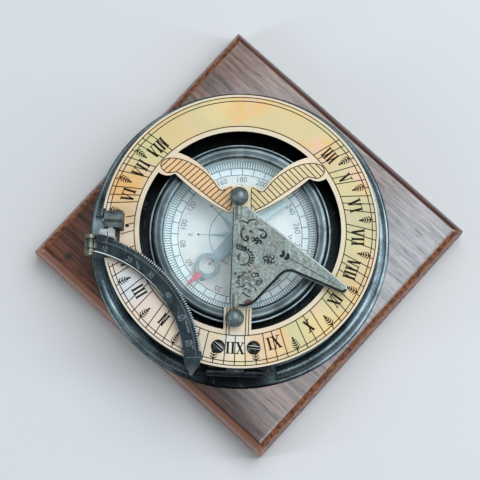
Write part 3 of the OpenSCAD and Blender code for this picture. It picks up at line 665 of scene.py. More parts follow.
@dataclass(frozen=True)
class WoodFinish:
    """Deep red-brown polished wood with straight grain along the base's own Y side.

    The knot's place is in millimetres; the side's start and the knot's reach are in metres.
    """

    name: str = "polished_wood"
    turn: float = BASE_TURN
    grain: Stops = ((0.37, (0.010, 0.0032, 0.0016)), (0.45, (0.038, 0.0098, 0.0036)),
                    (0.53, (0.088, 0.0235, 0.0082)), (0.62, (0.175, 0.052, 0.018)))
    # End-grain mottle, its lighter orange partly a painted sheen on the rough ends.
    end_grain_and_sheen: Stops = ((0.38, (0.040, 0.010, 0.004)), (0.50, (0.20, 0.056, 0.016)),
                        (0.62, (0.38, 0.125, 0.038)))
    pore: Colour = (0.012, 0.004, 0.003)
    # A painted sheen on the near long side, and painted shade on the far long side.
    near_side_painted_sheen: Colour = (0.40, 0.165, 0.095)
    far_side_painted_shade: Colour = (0.060, 0.013, 0.007)
    knot: Colour = (0.012, 0.005, 0.004)
    knot_at: Place = (-57.0, 52.0, 18.0)
    knot_reach: Flat = (0.0008, 0.0024)
    side_start: Flat = (0.0608, 0.0622)

    def sides(self, shelf: Shelf, where: Socket, colour: Socket) -> Socket:
        """Mottled end grain on two sides, lightened partly as a painted sheen;
        a painted sheen on the near long side and painted shade on the far one.

        Args:
            shelf: the material's node helper.
            where: the coordinates, turned with the base.
            colour: the colour of the flat.

        Returns:
            The colour with the sides.
        """
        parts = shelf.put("SeparateXYZ", {0: where}).outputs
        low, high = self.side_start
        end = shelf.span(shelf.math("ABSOLUTE", parts[1]), low, high)
        near = shelf.span(parts[0], -high, -low, 1.0, 0.0)
        far = shelf.span(parts[0], low, high)
        # End-grain mottle, lighter partly as a painted sheen.
        mottle = shelf.ramp(shelf.noise(where, 560.0, 5.0, 0.7), self.end_grain_and_sheen)
        colour = shelf.mix(shelf.math("MULTIPLY", end, 0.88), colour, mottle)
        # Painted sheen on the near long side, painted shade on the far one.
        colour = shelf.mix(shelf.math("MULTIPLY", near, 0.55), colour, self.near_side_painted_sheen)
        return shelf.mix(shelf.math("MULTIPLY", far, 0.65), colour, self.far_side_painted_shade)

    def build(self) -> bpy.types.Material:
        """Makes the material: bands, streaks and pores run along the grain under a polish.

        Returns:
            The material.
        """
        material, shelf, shader = blank_material(self.name)
        where = shelf.put("Mapping", {"Vector": shelf.place(),
                                      "Rotation": (0.0, 0.0, math.radians(-self.turn))}).outputs[0]
        bands = shelf.noise(shelf.stretch(where, 0.11), 62.0, 4.0, 0.55, 0.35)
        streaks = shelf.noise(shelf.stretch(where, 0.05), 640.0, 6.0, 0.62)
        pores = shelf.noise(shelf.stretch(where, 0.07), 2100.0, 3.0, 0.65)
        pits = shelf.span(pores, 0.54, 0.66)
        colour = shelf.ramp(shelf.blend(bands, 0.42, streaks, 0.58), self.grain)
        colour = shelf.mix(shelf.math("MULTIPLY", pits, 0.8), colour, self.pore)
        colour = self.sides(shelf, where, colour)
        knot = shelf.span(shelf.away(where, self.knot_at), *self.knot_reach, 0.8, 0.0)
        polish = shelf.math("SUBTRACT", shelf.span(streaks, 0.38, 0.62, 0.70, 1.0),
                            shelf.math("MULTIPLY", pits, 0.30), True)
        height = shelf.math("SUBTRACT", streaks, shelf.math("MULTIPLY", pits, 0.6))
        feed(shelf, shader, Base_Color=shelf.mix(knot, colour, self.knot),
             Roughness=shelf.span(streaks, 0.3, 0.7, 0.32, 0.46), Coat_Weight=polish,
             Coat_Roughness=0.11, Coat_IOR=1.88, Specular_IOR_Level=0.1,
             Normal=shelf.bump(height, 0.00009, 0.6))
        return material


@dataclass(frozen=True)
class GlassFinish:
    """The cover glass, a little hazy, which lets lamps through."""

    name: str = "cover_glass"
    tint: Colour = (0.90, 0.95, 0.97)
    lamp_tint: Colour = (0.93, 0.96, 0.97)

    def build(self) -> bpy.types.Material:
        """Makes the material: hazy glass, and clear for rays from lamps.

        Returns:
            The material.
        """
        material, shelf, shader = blank_material(self.name)
        smear = shelf.noise(shelf.place(), 55.0, 5.0, 0.6, 0.8)
        feed(shelf, shader, Base_Color=self.tint, IOR=1.2, Transmission_Weight=0.97,
             Roughness=shelf.span(smear, 0.4, 0.7, 0.005, 0.05))
        clear = shelf.put("BsdfTransparent", {"Color": self.lamp_tint})
        lamp_ray = shelf.put("LightPath").outputs["Is Shadow Ray"]
        both = shelf.put("MixShader", {0: lamp_ray, 1: shader.outputs[0], 2: clear.outputs[0]})
        output = material.node_tree.nodes["Material Output"]
        shelf.plug(output.inputs["Surface"], both.outputs[0])
        return material


@dataclass(frozen=True)
class NeedleFinish:
    """Blue-grey paint on the needle, red beyond its ring; spans are in metres along it."""

    name: str = "painted_needle"
    aim: float = math.radians(226.0)
    paint: tuple[Colour, Colour] = ((0.12, 0.185, 0.21), (0.19, 0.265, 0.29))
    tail: Colour = (0.50, 0.58, 0.57)
    red: tuple[Colour, Colour] = ((0.40, 0.045, 0.075), (0.52, 0.10, 0.13))
    rubbed: Colour = (0.6, 0.65, 0.65)
    tail_end: Flat = (-0.002, 0.002)
    red_start: Flat = (0.0232, 0.0237)

    def build(self) -> bpy.types.Material:
        """Makes the material: the way along the needle turns the paint from blue-grey to red.

        Returns:
            The material.
        """
        material, shelf, shader = blank_material(self.name)
        where = shelf.place()
        moved = shelf.put("Mapping", {"Vector": where,
                                      "Location": tuple(-c for c in DIAL_AXIS)}).outputs[0]
        aim = (math.cos(self.aim), math.sin(self.aim), 0.0)
        along = shelf.put("VectorMath", {0: moved, 1: aim}, operation="DOT_PRODUCT")
        along = along.outputs["Value"]
        paint = shelf.mix(shelf.span(shelf.noise(where, 400.0), 0.35, 0.65), *self.paint)
        paint = shelf.mix(shelf.span(along, *self.tail_end, 0.7, 0.0), paint, self.tail)
        red = shelf.mix(shelf.span(shelf.noise(where, 500.0), 0.35, 0.65), *self.red)
        colour = shelf.mix(shelf.span(along, *self.red_start), paint, red)
        wear = RACK.use(shelf, Effect.WEAR, Radius=0.0001, Amount=0.4)
        feed(shelf, shader, Base_Color=shelf.mix(wear.outputs["Mask"], colour, self.rubbed),
             Metallic=0.1, Roughness=shelf.span(shelf.noise(where, 900.0), 0.3, 0.7, 0.35, 0.5),
             Normal=wear.outputs["Normal"])
        return material


@dataclass
class FinishBook:
    """Every finish of the object, by its plain name."""

    made: dict[str, bpy.types.Material] = field(default_factory=dict)

    @staticmethod
    def metals() -> list[MetalFinish]:
        """The metals of the case, the dial and its folding pieces.

        Returns:
            The finishes, the largest pieces' first.
        """
        return [
            MetalFinish(
                "gunmetal_case", dark=(0.036, 0.052, 0.06), light=(0.25, 0.325, 0.35),
                worn=(0.36, 0.44, 0.47), smooth=0.26, rough=0.36, turned=0.15, clouds=55.0,
                dents=0.0008, edge=0.22, wear=0.4, scratched=0.1,
                # Painted shade inside the well: the bands darken the metal within 46 mm of the
                # dial's axis.
                bands=((0.0, 0.05), (0.046, 0.05), (0.048, 1.0), (0.065, 1.0)),
                # Painted shade: the patch darkens the south wall and flange round the hinge.
                patches=((DIAL[0], DIAL[1] - 66.0, 20.0, 34.0, (0.004, 0.006, 0.007),
                          (0.012, 0.016, 0.018)),)),
            MetalFinish(
                "gunmetal_bezel", dark=(0.06, 0.088, 0.099), light=(0.26, 0.33, 0.35),
                worn=(0.46, 0.54, 0.56), smooth=0.3, rough=0.42, turned=0.2, clouds=90.0,
                dents=0.002, scratched=0.08, wear=0.35,
                # Painted light and shade: the bands lay the bright and dark rings of a turned
                # profile on the flat lip.
                bands=((0.0, 0.75), (0.033, 0.75), (0.0336, 0.3), (0.0347, 0.3), (0.0352, 0.85),
                       (0.0363, 0.95), (0.0367, 0.4), (0.037, 0.45), (0.0373, 1.0))),
            MetalFinish(
                "blackened_hinge", dark=(0.012, 0.014, 0.016), light=(0.03, 0.035, 0.038),
                worn=(0.12, 0.13, 0.13), smooth=0.35, rough=0.5, clouds=200.0, dents=0.006,
                wear=0.4),
            MetalFinish(
                "gunmetal_balls", dark=(0.1, 0.135, 0.142), light=(0.27, 0.335, 0.34),
                worn=(0.46, 0.52, 0.52), metallic=0.86, smooth=0.5, rough=0.62, clouds=380.0,
                dents=0.016, scratched=0.1),
            MetalFinish(
                "blackened_arc", dark=(0.009, 0.013, 0.017), light=(0.027, 0.04, 0.047),
                worn=(0.34, 0.39, 0.42), smooth=0.3, rough=0.46, edge=0.28, wear=0.9, clouds=150.0,
                dents=0.012,
                patches=((*PIVOT, 4.4, (0.035, 0.038, 0.032), (0.26, 0.265, 0.22)),
                         (-21.8, -60.4, 47.0, 5.0, (0.03, 0.037, 0.038), (0.09, 0.104, 0.106)))),
            MetalFinish(
                "blackened_block", dark=(0.028, 0.036, 0.038), light=(0.165, 0.195, 0.198),
                worn=(0.36, 0.4, 0.39), metallic=0.75, smooth=0.45, rough=0.62, edge=0.4,
                clouds=240.0, dents=0.012),
            MetalFinish(
                "pewter_blade", dark=(0.088, 0.112, 0.1), light=(0.3, 0.355, 0.325),
                worn=(0.62, 0.68, 0.66), metallic=0.5, smooth=0.38, rough=0.58, edge=0.25,
                wear=0.7, clouds=820.0, spots=(0.23, 0.125, 0.1), spot_scale=75.0, dents=0.016,
                grain=0.5,
                patches=((DIAL[0] + 4.4, DIAL[1] - 31.2, BLADE_Z, 2.9, (0.018, 0.008, 0.006),
                          (0.15, 0.05, 0.04)),)),
            MetalFinish(
                "worn_brass", dark=(0.03, 0.032, 0.024), light=(0.34, 0.345, 0.26),
                worn=(0.85, 0.86, 0.76), smooth=0.22, rough=0.45, clouds=520.0, edge=0.22,
                wear=0.9),
            MetalFinish(
                "blackened_plate", dark=(0.03, 0.022, 0.014), light=(0.075, 0.055, 0.034),
                worn=(0.3, 0.22, 0.12), smooth=0.35, rough=0.55, clouds=200.0, edge=0.1, wear=0.3),
            MetalFinish(
                "plate_brass", dark=(0.2, 0.14, 0.07), light=(0.46, 0.35, 0.18),
                worn=(0.75, 0.64, 0.42), smooth=0.3, rough=0.5, clouds=200.0, edge=0.15),
            MetalFinish(
                "blackened_screws", dark=(0.01, 0.012, 0.01), light=(0.085, 0.095, 0.085),
                worn=(0.62, 0.66, 0.58), smooth=0.22, rough=0.4, clouds=420.0, edge=0.3, wear=1.0,
                dents=0.008),
            MetalFinish(
                "bright_steel", dark=(0.3, 0.32, 0.32), light=(0.82, 0.86, 0.86),
                worn=(0.85, 0.87, 0.87), metallic=0.4, smooth=0.3, rough=0.45, clouds=300.0,
                edge=0.15),
            MetalFinish(
                "plain_steel", dark=(0.24, 0.26, 0.27), light=(0.48, 0.51, 0.52),
                worn=(0.8, 0.82, 0.82), smooth=0.2, rough=0.38, clouds=300.0, edge=0.15),
        ]

    @staticmethod
    def inks() -> list[InkFinish]:
        """The inks of the print and the card, and those of cut and bright lines.

        Returns:
            The finishes.
        """
        return [
            InkFinish("dial_ink", (0.012, 0.008, 0.004), (0.04, 0.025, 0.01), 0.75),
            InkFinish("arm_peach", (0.8, 0.5, 0.25), (0.8, 0.64, 0.45), 0.45),
            InkFinish("arm_cream", (0.74, 0.6, 0.33), (0.8, 0.67, 0.48), 0.45),
            InkFinish("card_ink", (0.05, 0.078, 0.09), (0.1, 0.14, 0.155)),
            InkFinish("card_white", (0.66, 0.72, 0.72), (0.56, 0.63, 0.65)),
            InkFinish("card_rose", (0.36, 0.49, 0.48), (0.46, 0.57, 0.55)),
            InkFinish("card_blush", (0.64, 0.63, 0.64), (0.66, 0.68, 0.62)),
            # Dark for engraved lines, and for painted shade on the blade's edges and in the screw
            # slots.
            InkFinish("engraving_and_painted_shade", (0.008, 0.009, 0.009), (0.022, 0.025, 0.023), 0.7),
            # Painted highlights: the blade's style edge, the arc's last teeth and inner edge, the
            # screw lips.
            InkFinish("painted_highlight_ink", (0.72, 0.78, 0.78), (0.42, 0.47, 0.46), 0.4),
            InkFinish("engraved_pale", (0.16, 0.19, 0.205), (0.09, 0.11, 0.12), 0.5),
        ]

    def open(self) -> None:
        """Builds all the materials."""
        others = [PrintedFaceFinish(), CardFinish(), WoodFinish(), GlassFinish(), NeedleFinish()]
        for recipe in self.metals() + self.inks() + others:
            self.made[recipe.name] = recipe.build()

    def dress(self, obj: bpy.types.Object, finish: str) -> None:
        """Puts one finish in every slot of an object.

        Args:
            obj: the object.
            finish: the finish's name.
        """
        material = self.made[finish]
        if not obj.material_slots:
            obj.data.materials.append(material)
        for slot in obj.material_slots:
            slot.material = material


BOOK = FinishBook()


def link(name: str, data: bpy.types.ID) -> bpy.types.Object:
    """Makes an object of some data and puts it in the scene.

    Args:
        name: the object's name.
        data: a mesh, a curve, a lamp or a camera.

    Returns:
        The new object.
    """
    obj = bpy.data.objects.new(name, data)
    bpy.context.scene.collection.objects.link(obj)
    return obj


def baked(obj: bpy.types.Object) -> bpy.types.Mesh:
    """Copies an object's mesh as its modifiers leave it.

    Args:
        obj: the object.

    Returns:
        The new mesh.
    """
    bpy.context.view_layer.update()
    depsgraph = bpy.context.evaluated_depsgraph_get()
    return bpy.data.meshes.new_from_object(obj.evaluated_get(depsgraph))


def shade(mesh: bpy.types.Mesh, angle: float) -> None:
    """Smooths all faces, and keeps the edges sharp that bend past an angle.

    Args:
        mesh: the mesh.
        angle: the angle, in degrees.
    """
    mesh.polygons.foreach_set("use_smooth", np.ones(len(mesh.polygons), bool))
    mesh.set_sharp_from_angle(angle=math.radians(angle))
    mesh.update()


def settle(mesh: bpy.types.Mesh, name: str, body: Body, finish: str) -> bpy.types.Object:
    """Links a mesh as a piece.

    Args:
        mesh: the piece's mesh.
        name: the piece's name.
        body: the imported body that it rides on.
        finish: its finish.

    Returns:
        The new object.
    """
    obj = link(name, mesh)
    BOOK.dress(obj, finish)
    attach(obj, body.value)
    LOG.info("piece %s: %d faces on %s", name, len(mesh.polygons), body.value)
    return obj


def circle(radius: float, start: float = 0.0, end: float = 360.0, step: float = 1.5,
           centre: Flat = (0.0, 0.0)) -> np.ndarray:
    """Points on a circle: the sine and cosine of an angle that goes from -Y towards +X.

    Args:
        radius: the circle's radius.
        start: the first angle, in degrees.
        end: the last angle.
        step: the widest step between two points.
        centre: the circle's middle.

    Returns:
        The points.
    """
    count = max(2, int(math.ceil(abs(end - start) / step)) + 1)
    angle = np.radians(np.linspace(start, end, count))
    return np.column_stack([centre[0] + radius * np.sin(angle),
                            centre[1] - radius * np.cos(angle)])


def ring_of(radius: float, step: float, centre: Flat = (0.0, 0.0)) -> np.ndarray:
    """Points once round a circle, without the last one that would repeat the first."""
    return circle(radius, 0, 360, step, centre)[:-1]


def curve_through(points: np.ndarray | tuple | list, per_span: int = 8,
                  closed: bool = False) -> np.ndarray:
    """A smooth curve: each span is a cubic whose end slopes are half its neighbours' distance.

    Args:
        points: the points that it goes through.
        per_span: how many points each span gets.
        closed: whether it runs back to its start.

    Returns:
        The curve's points.
    """
    p = np.asarray(points, float)
    if closed:
        row = [np.roll(p, shift, 0) for shift in (1, 0, -1, -2)]
    else:
        ends = np.vstack([2 * p[0] - p[1], p, 2 * p[-1] - p[-2]])
        row = [ends[:-3], ends[1:-2], ends[2:-1], ends[3:]]
    t = np.linspace(0, 1, per_span, endpoint=False)[None, :, None]
    a, b, c, d = (q[:, None, :] for q in row)
    out = 0.5 * (2 * b + (c - a) * t + (2 * a - 5 * b + 4 * c - d) * t ** 2
                 + (3 * b - a - 3 * c + d) * t ** 3)
    out = out.reshape(-1, 2)
    return out if closed else np.vstack([out, p[-1]])


def line(start: np.ndarray | Flat, end: np.ndarray | Flat, count: int = 2) -> np.ndarray:
    """Points along a straight line: a share of the start and the rest of the end."""
    t = np.linspace(0, 1, count)[:, None]
    return np.asarray(start, float) * (1 - t) + np.asarray(end, float) * t


def heading(degrees: float) -> np.ndarray:
    """The direction at an angle from +X towards +Y: its cosine and sine."""
    angle = math.radians(degrees)
    return np.array([math.cos(angle), math.sin(angle)])


def headings(path: np.ndarray, closed: bool) -> np.ndarray:
    """Directions along a path: from each point's last neighbour to its next, at length one."""
    step = np.roll(path, -1, 0) - np.roll(path, 1, 0) if closed else np.gradient(path, axis=0)
    return step / (np.linalg.norm(step, axis=1, keepdims=True) + 1e-12)


def anticlockwise(path: np.ndarray) -> np.ndarray:
    """Turns a closed path if its area, the sum of its points' cross products, is negative.

    Args:
        path: the path's points.

    Returns:
        The points in the order in which the area is positive.
    """
    x, y = path[:, 0], path[:, 1]
    area = np.sum(x * np.roll(y, -1) - np.roll(x, -1) * y)
    return path if area > 0 else path[::-1]


def runs(mask: np.ndarray) -> list[tuple[int, int]]:
    """Where each unbroken row of true values starts and stops."""
    edges = np.flatnonzero(np.diff(np.concatenate([[0], mask.astype(int), [0]])))
    return list(zip(edges[::2], edges[1::2]))


def spindle(count: int, fat: float, thin: float) -> np.ndarray:
    """Half widths that swell to the middle as a sine does and taper to both ends."""
    return thin + (fat - thin) * np.sin(np.pi * np.linspace(0, 1, count)) ** 0.8


def spread(points: np.ndarray, at: np.ndarray, up: np.ndarray) -> np.ndarray:
    """Local points set at a place: x times its right plus y times its up."""
    right = np.array([up[1], -up[0]])
    return at + points[:, :1] * right + points[:, 1:2] * up


@dataclass
class Sketch:
    """Collects closed thin shapes, in millimetres, and makes one object of them.

    Ribbons take turns at slightly raised tops, so that crossing ones don't share a plane.
    """

    origin: Flat = (0.0, 0.0)
    points: list[np.ndarray] = field(default_factory=list)
    faces: Faces = field(default_factory=list)
    count: int = 0
    layer: int = 0
    layers: int = 9
    lift: float = 0.0006

    def add(self, points: np.ndarray, faces: Faces) -> None:
        """Adds a shape.

        Args:
            points: its points.
            faces: its faces, as rows of numbers that count from its own first point.
        """
        self.faces.extend([[i + self.count for i in face] for face in faces])
        self.points.append(np.asarray(points, float))
        self.count += len(points)

    def ribbon(self, path: np.ndarray, half: float | np.ndarray, low: float, high: float,
               closed: bool = False) -> None:
        """A flat bar along a path: at each point both edges stand half a width off it.

        Args:
            path: the middle line's points.
            half: half the width, one value or one for each point.
            low: height of the underside.
            high: height of the top.
            closed: whether the path runs back to its start.
        """
        path = np.asarray(path, float)
        n = len(path)
        step = headings(path, closed)
        side = np.column_stack([-step[:, 1], step[:, 0]]) * np.broadcast_to(half, n)[:, None]
        self.layer = (self.layer + 1) % self.layers
        high = high + self.lift * self.layer
        left, right = path + side, path - side
        rails = [np.column_stack([edge, np.full(n, z)])
                 for edge, z in ((left, low), (right, low), (right, high), (left, high))]
        i = np.arange(n if closed else n - 1)[:, None] * 4
        j = np.arange(4)[None, :]
        k = (i + 4) % (n * 4)
        beside = (j + 1) % 4
        quads = np.stack([i + j, k + j, k + beside, i + beside], axis=2)
        faces = quads.reshape(-1, 4).tolist()
        if not closed:
            last = (n - 1) * 4
            faces += [[0, 1, 2, 3], [last + 3, last + 2, last + 1, last]]
        self.add(np.stack(rails, axis=1).reshape(-1, 3), faces)

    def fill(self, path: np.ndarray, low: float, high: float) -> None:
        """A slab: the outline at two heights, with a wall under each of its steps.

        Args:
            path: the outline's points.
            low: height of the underside.
            high: height of the top.
        """
        path = anticlockwise(path)
        n = len(path)
        i = np.arange(n)
        walls = np.stack([i, (i + 1) % n, n + (i + 1) % n, n + i], axis=1).tolist()
        caps = [list(range(n - 1, -1, -1)), list(range(n, 2 * n))]
        ends = [np.column_stack([path, np.full(n, z)]) for z in (low, high)]
        self.add(np.vstack(ends), walls + caps)

    def mesh(self, name: str) -> bpy.types.Mesh:
        """All the shapes as one mesh, moved by the sketch's origin and scaled to metres.

        Args:
            name: the mesh's name.

        Returns:
            The mesh.
        """
        points = np.concatenate(self.points)
        points[:, :2] += np.asarray(self.origin)
        mesh = bpy.data.meshes.new(name)
        mesh.from_pydata((points * MM).tolist(), [], self.faces)
        mesh.update()
        return mesh

    def finish(self, name: str, body: Body, finish: str, slot: str) -> bpy.types.Object:
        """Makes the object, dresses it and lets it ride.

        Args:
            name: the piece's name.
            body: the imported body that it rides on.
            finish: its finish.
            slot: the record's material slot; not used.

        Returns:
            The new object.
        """
        return settle(self.mesh(name), name, body, finish)


def on_dial() -> Sketch:
    """An empty sketch about the dial's middle."""
    return Sketch(tuple(DIAL))


@dataclass
class HourPrint:
    """The print on the hour ring, its two arms and the lower strip.

    Radii and places are in millimetres from the dial's middle. Each opening hides the print
    left of its first number, between the other two. Drifts move numerals aside by the hour.
    """

    apex: Flat = (-0.32, 13.03)
    inner: float = 43.87
    band_in: float = 54.6
    band_out: float = 56.2
    pen: float = 0.19
    broad_pen: float = 0.46
    rise: float = 0.035
    strip_lines: tuple[float, ...] = (-4.2, -3.0, 3.7, 4.9)
    strip_end: float = -32.7
    openings: tuple[Place, ...] = ((-49.5, -15.3, -0.9), (-47.9, -2.4, 5.4))
    numeral_r: float = 48.7
    noon_r: float = 49.0
    numeral_height: float = 5.3
    noon_height: float = 4.9
    morning: tuple[str, ...] = ("XII", "XI", "X", "IX", "VIII", "VII", "VI", "V", "IIII")
    afternoon: tuple[str, ...] = ("I", "II", "III", "IIII", "V", "VI", "VII", "VIII")
    drift: dict[int, float] = field(default_factory=lambda: {
        8: 1.1, 7: 1.2, 6: 1.0, 5: 1.0, 4: 0.6, 3: 0.3})
    widths: dict[str, float] = field(default_factory=lambda: {
        "XII": 8.0, "XI": 6.0, "X": 3.1, "IX": 4.8, "VIII": 8.6, "VII": 7.4, "VI": 5.8, "V": 3.7,
        "IIII": 6.0, "III": 5.0, "II": 3.1, "I": 1.4})
    shares: dict[str, float] = field(default_factory=lambda: {"I": 1.0, "V": 1.85, "X": 1.85})
    letter_fill: float = 0.96
    sprig_r: float = 51.85
    stem_half: float = 0.13
    bud_halves: Flat = (0.40, 0.08)
    leaf_halves: Flat = (0.30, 0.15)
    leaves: tuple[Flat, ...] = ((-2.35, 1.5), (-1.25, 1.38), (-0.2, 1.15), (0.75, 0.8))
    arm_outer: tuple[Flat, ...] = (
        (-34.4, 25.9), (-33.4, 27.6), (-30.9, 28.6), (-27.9, 28.6), (-24.4, 27.9), (-20.0, 26.0),
        (-15.9, 23.3), (-12.6, 20.2), (-10.5, 17.6), (-9.4, 16.5), (-8.2, 16.2), (-6.4, 17.0),
        (-4.4, 17.3))
    arm_inner: tuple[Flat, ...] = (
        (-4.6, 8.6), (-7.3, 9.2), (-10.5, 10.9), (-13.5, 12.9), (-16.7, 15.2), (-20.0, 17.5),
        (-23.4, 20.0), (-26.0, 22.0), (-27.8, 22.9), (-29.5, 22.7), (-31.6, 22.4), (-33.2, 23.3),
        (-34.2, 24.5))
    arm_turn: float = 0.018
    ground_rise: float = 0.012
    hatch_way: Flat = (0.714, 0.70)
    hatch_pitch: float = 1.95
    hatch_margins: Flat = (1.3, 0.5)

    def draw(self, sketch: Sketch, path: np.ndarray, half: float | np.ndarray,
             closed: bool = False) -> None:
        """One printed line on the face."""
        sketch.ribbon(path, half, FACE_Z, FACE_Z + self.rise, closed)

    def ray(self, hours: float, radius: float) -> np.ndarray:
        """Where an hour's ray meets a circle: the far root of the two equations' quadratic.

        Args:
            hours: the hour, counted from noon towards the morning.
            radius: the circle's radius about the dial's middle.

        Returns:
            The point.
        """
        angle = math.radians(15.0 * hours)
        way = np.array([math.sin(angle), -math.cos(angle)])
        apex = np.array(self.apex)
        along = -apex @ way + math.sqrt((apex @ way) ** 2 - apex @ apex + radius ** 2)
        return apex + along * way

    def keep(self, sketch: Sketch, path: np.ndarray, half: float | np.ndarray,
             closed: bool = False) -> None:
        """Draws the parts of a path that lie on the printed face and not in its openings.

        Args:
            sketch: where to draw.
            path: the line's points.
            half: half its width, one value or one for each point.
            closed: whether the path runs back to its start.
        """
        hidden = np.zeros(len(path), bool)
        for x, low, high in self.openings:
            hidden |= (path[:, 0] < x) & (path[:, 1] > low) & (path[:, 1] < high)
        if not hidden.any():
            self.draw(sketch, path, half, closed)
            return
        half = np.broadcast_to(half, len(path))
        if closed:
            first = int(np.argmax(hidden))
            path, hidden, half = (np.roll(row, -first, 0) for row in (path, hidden, half))
        for start, stop in runs(~hidden):
            if stop - start > 1:
                self.draw(sketch, path[start:stop], half[start:stop])

    def draw_lines(self) -> None:
        """Rings, hour and quarter-hour lines, and the ticks of the double band."""
        sketch = on_dial()
        for radius in (self.inner, self.band_in, self.band_out):
            self.keep(sketch, ring_of(radius, 1.0), self.pen, True)
        for hour in range(-8, 9):
            for at in (hour - 0.25, hour, hour + 0.25):
                ends = self.ray(at, self.inner), self.ray(at, self.band_out)
                self.keep(sketch, line(*ends, 30), self.pen)
            if hour < 8:
                ends = self.ray(hour + 0.5, self.band_in), self.ray(hour + 0.5, self.band_out)
                self.keep(sketch, line(*ends, 6), self.pen)
        for x in self.strip_lines:
            self.keep(sketch, line((x, -self.inner), (x, self.strip_end), 4), self.pen)
        sketch.finish("hour_lines", Body.DIAL, "dial_ink", "printed_face")

    def letter_strokes(self, letter: str, width: float,
                       height: float) -> list[tuple[Flat, Flat, float]]:
        """Thick and thin strokes of one Roman letter about its own middle.

        Args:
            letter: I, V or X.
            width: the letter's width.
            height: the letter's height.

        Returns:
            The start, the end and the half width of each stroke.
        """
        h, w, thin = height / 2, width / 2, self.pen
        thick, foot = min(self.broad_pen, width * 0.27), h - thin
        if letter == "I":
            serifs = [((-w * 0.86, y), (w * 0.86, y), thin) for y in (foot, -foot)]
            return [((0, -h), (0, h), thick)] + serifs
        lean, serif = w * 0.62, w * 0.42
        top, low = ([((x - serif, y), (x + serif, y), thin) for x in (-lean, lean)]
                    for y in (foot, -foot))
        if letter == "V":
            return [((-lean, h), (0, -h), thick), ((lean, h), (0, -h), thin)] + top
        return [((-lean, h), (lean, -h), thick), ((lean, h), (-lean, -h), thin)] + top + low

    def draw_numerals(self) -> None:
        """The numerals, tops outwards: XII at -Y, the morning to +X, the afternoon to -X."""
        sketch = on_dial()
        marks = list(enumerate(self.morning))
        marks += [(-i - 1, text) for i, text in enumerate(self.afternoon)]
        for hour, text in marks:
            at = self.ray(hour, self.numeral_r if hour else self.noon_r)
            height = self.numeral_height if hour else self.noon_height
            up = at / np.linalg.norm(at)
            at = at + np.array([up[1], -up[0]]) * self.drift.get(hour, 0.0)
            scale = self.widths[text] / sum(self.shares[letter] for letter in text)
            cursor = -self.widths[text] / 2
            for letter in text:
                width = self.shares[letter] * scale
                for start, end, half in self.letter_strokes(letter, width * self.letter_fill,
                                                            height):
                    local = line(start, end, 12) + np.array([cursor + width / 2, 0.0])
                    self.keep(sketch, spread(local, at, up), half)
                cursor += width
        sketch.finish("hour_numerals", Body.DIAL, "dial_ink", "printed_face")

    def draw_sprigs(self) -> None:
        """A frond at each half hour: a stem whose paired leaves lean to its tip, inwards."""
        sketch = on_dial()
        for hour in np.arange(-7.5, 8.0, 1.0):
            at = self.ray(float(hour), self.sprig_r)
            up = -at / np.linalg.norm(at)
            strokes = [(line((0, -3.4), (0, 1.2), 5), self.stem_half),
                       (line((0, 0.9), (0, 2.75), 9), spindle(9, *self.bud_halves))]
            for y, reach in self.leaves:
                for side in (-1, 1):
                    leaf = curve_through([(0, y), (side * reach * 0.6, y + reach * 0.30),
                                          (side * reach, y + reach * 0.66)], 5)
                    strokes.append((leaf, np.linspace(*self.leaf_halves, len(leaf))))
            for local, half in strokes:
                self.keep(sketch, spread(local, at, up), half)
        sketch.finish("half_hour_sprigs", Body.DIAL, "dial_ink", "printed_face")

    def hatch_lines(self, edge: np.ndarray) -> list[np.ndarray]:
        """Parallel lines over an outline: each goes where its offset crosses the outline's steps.

        Args:
            edge: the closed outline's points.

        Returns:
            The two ends of each line.
        """
        way = np.array(self.hatch_way)
        ring = np.vstack([edge, edge[:1]])
        offset = ring @ np.array([way[1], -way[0]])
        low, high = offset.min() + self.hatch_margins[0], offset.max() - self.hatch_margins[1]
        lines = []
        for shift in np.arange(low, high, self.hatch_pitch):
            a, b = offset[:-1] - shift, offset[1:] - shift
            hit = np.flatnonzero(a * b < 0)
            if len(hit) > 1:
                share = (a[hit] / (a[hit] - b[hit]))[:, None]
                crossing = ring[hit] + share * (ring[hit + 1] - ring[hit])
                lines.append(crossing[np.argsort(crossing @ way)][[0, -1]])
        return lines

    def draw_arms(self) -> None:
        """Both arms' ground, outline and hatching; the right arm is the left one flipped."""
        sketch = on_dial()
        turn = np.array([[1.0, -self.arm_turn], [self.arm_turn, 1.0]])
        edge = curve_through(np.array(self.arm_outer + self.arm_inner) @ turn, 8, True)
        flip = np.array([-1.0, 1.0])
        arms = (("left_arm_field", edge, "arm_peach"),
                ("right_arm_field", (edge * flip)[::-1], "arm_cream"))
        for name, path, finish in arms:
            ground = on_dial()
            ground.fill(path, FACE_Z, FACE_Z + self.ground_rise)
            ground.finish(name, Body.DIAL, finish, "printed_face")
        for path in (edge, edge * flip):
            self.draw(sketch, path, self.pen * 0.95, True)
        for ends in self.hatch_lines(edge):
            for side in (ends, ends * flip):
                self.draw(sketch, line(*side), self.pen * 1.05)
        sketch.finish("arm_hatching", Body.DIAL, "dial_ink", "printed_face")

    def build(self) -> None:
        """Draws every mark."""
        self.draw_lines()
        self.draw_numerals()
        self.draw_sprigs()
        self.draw_arms()


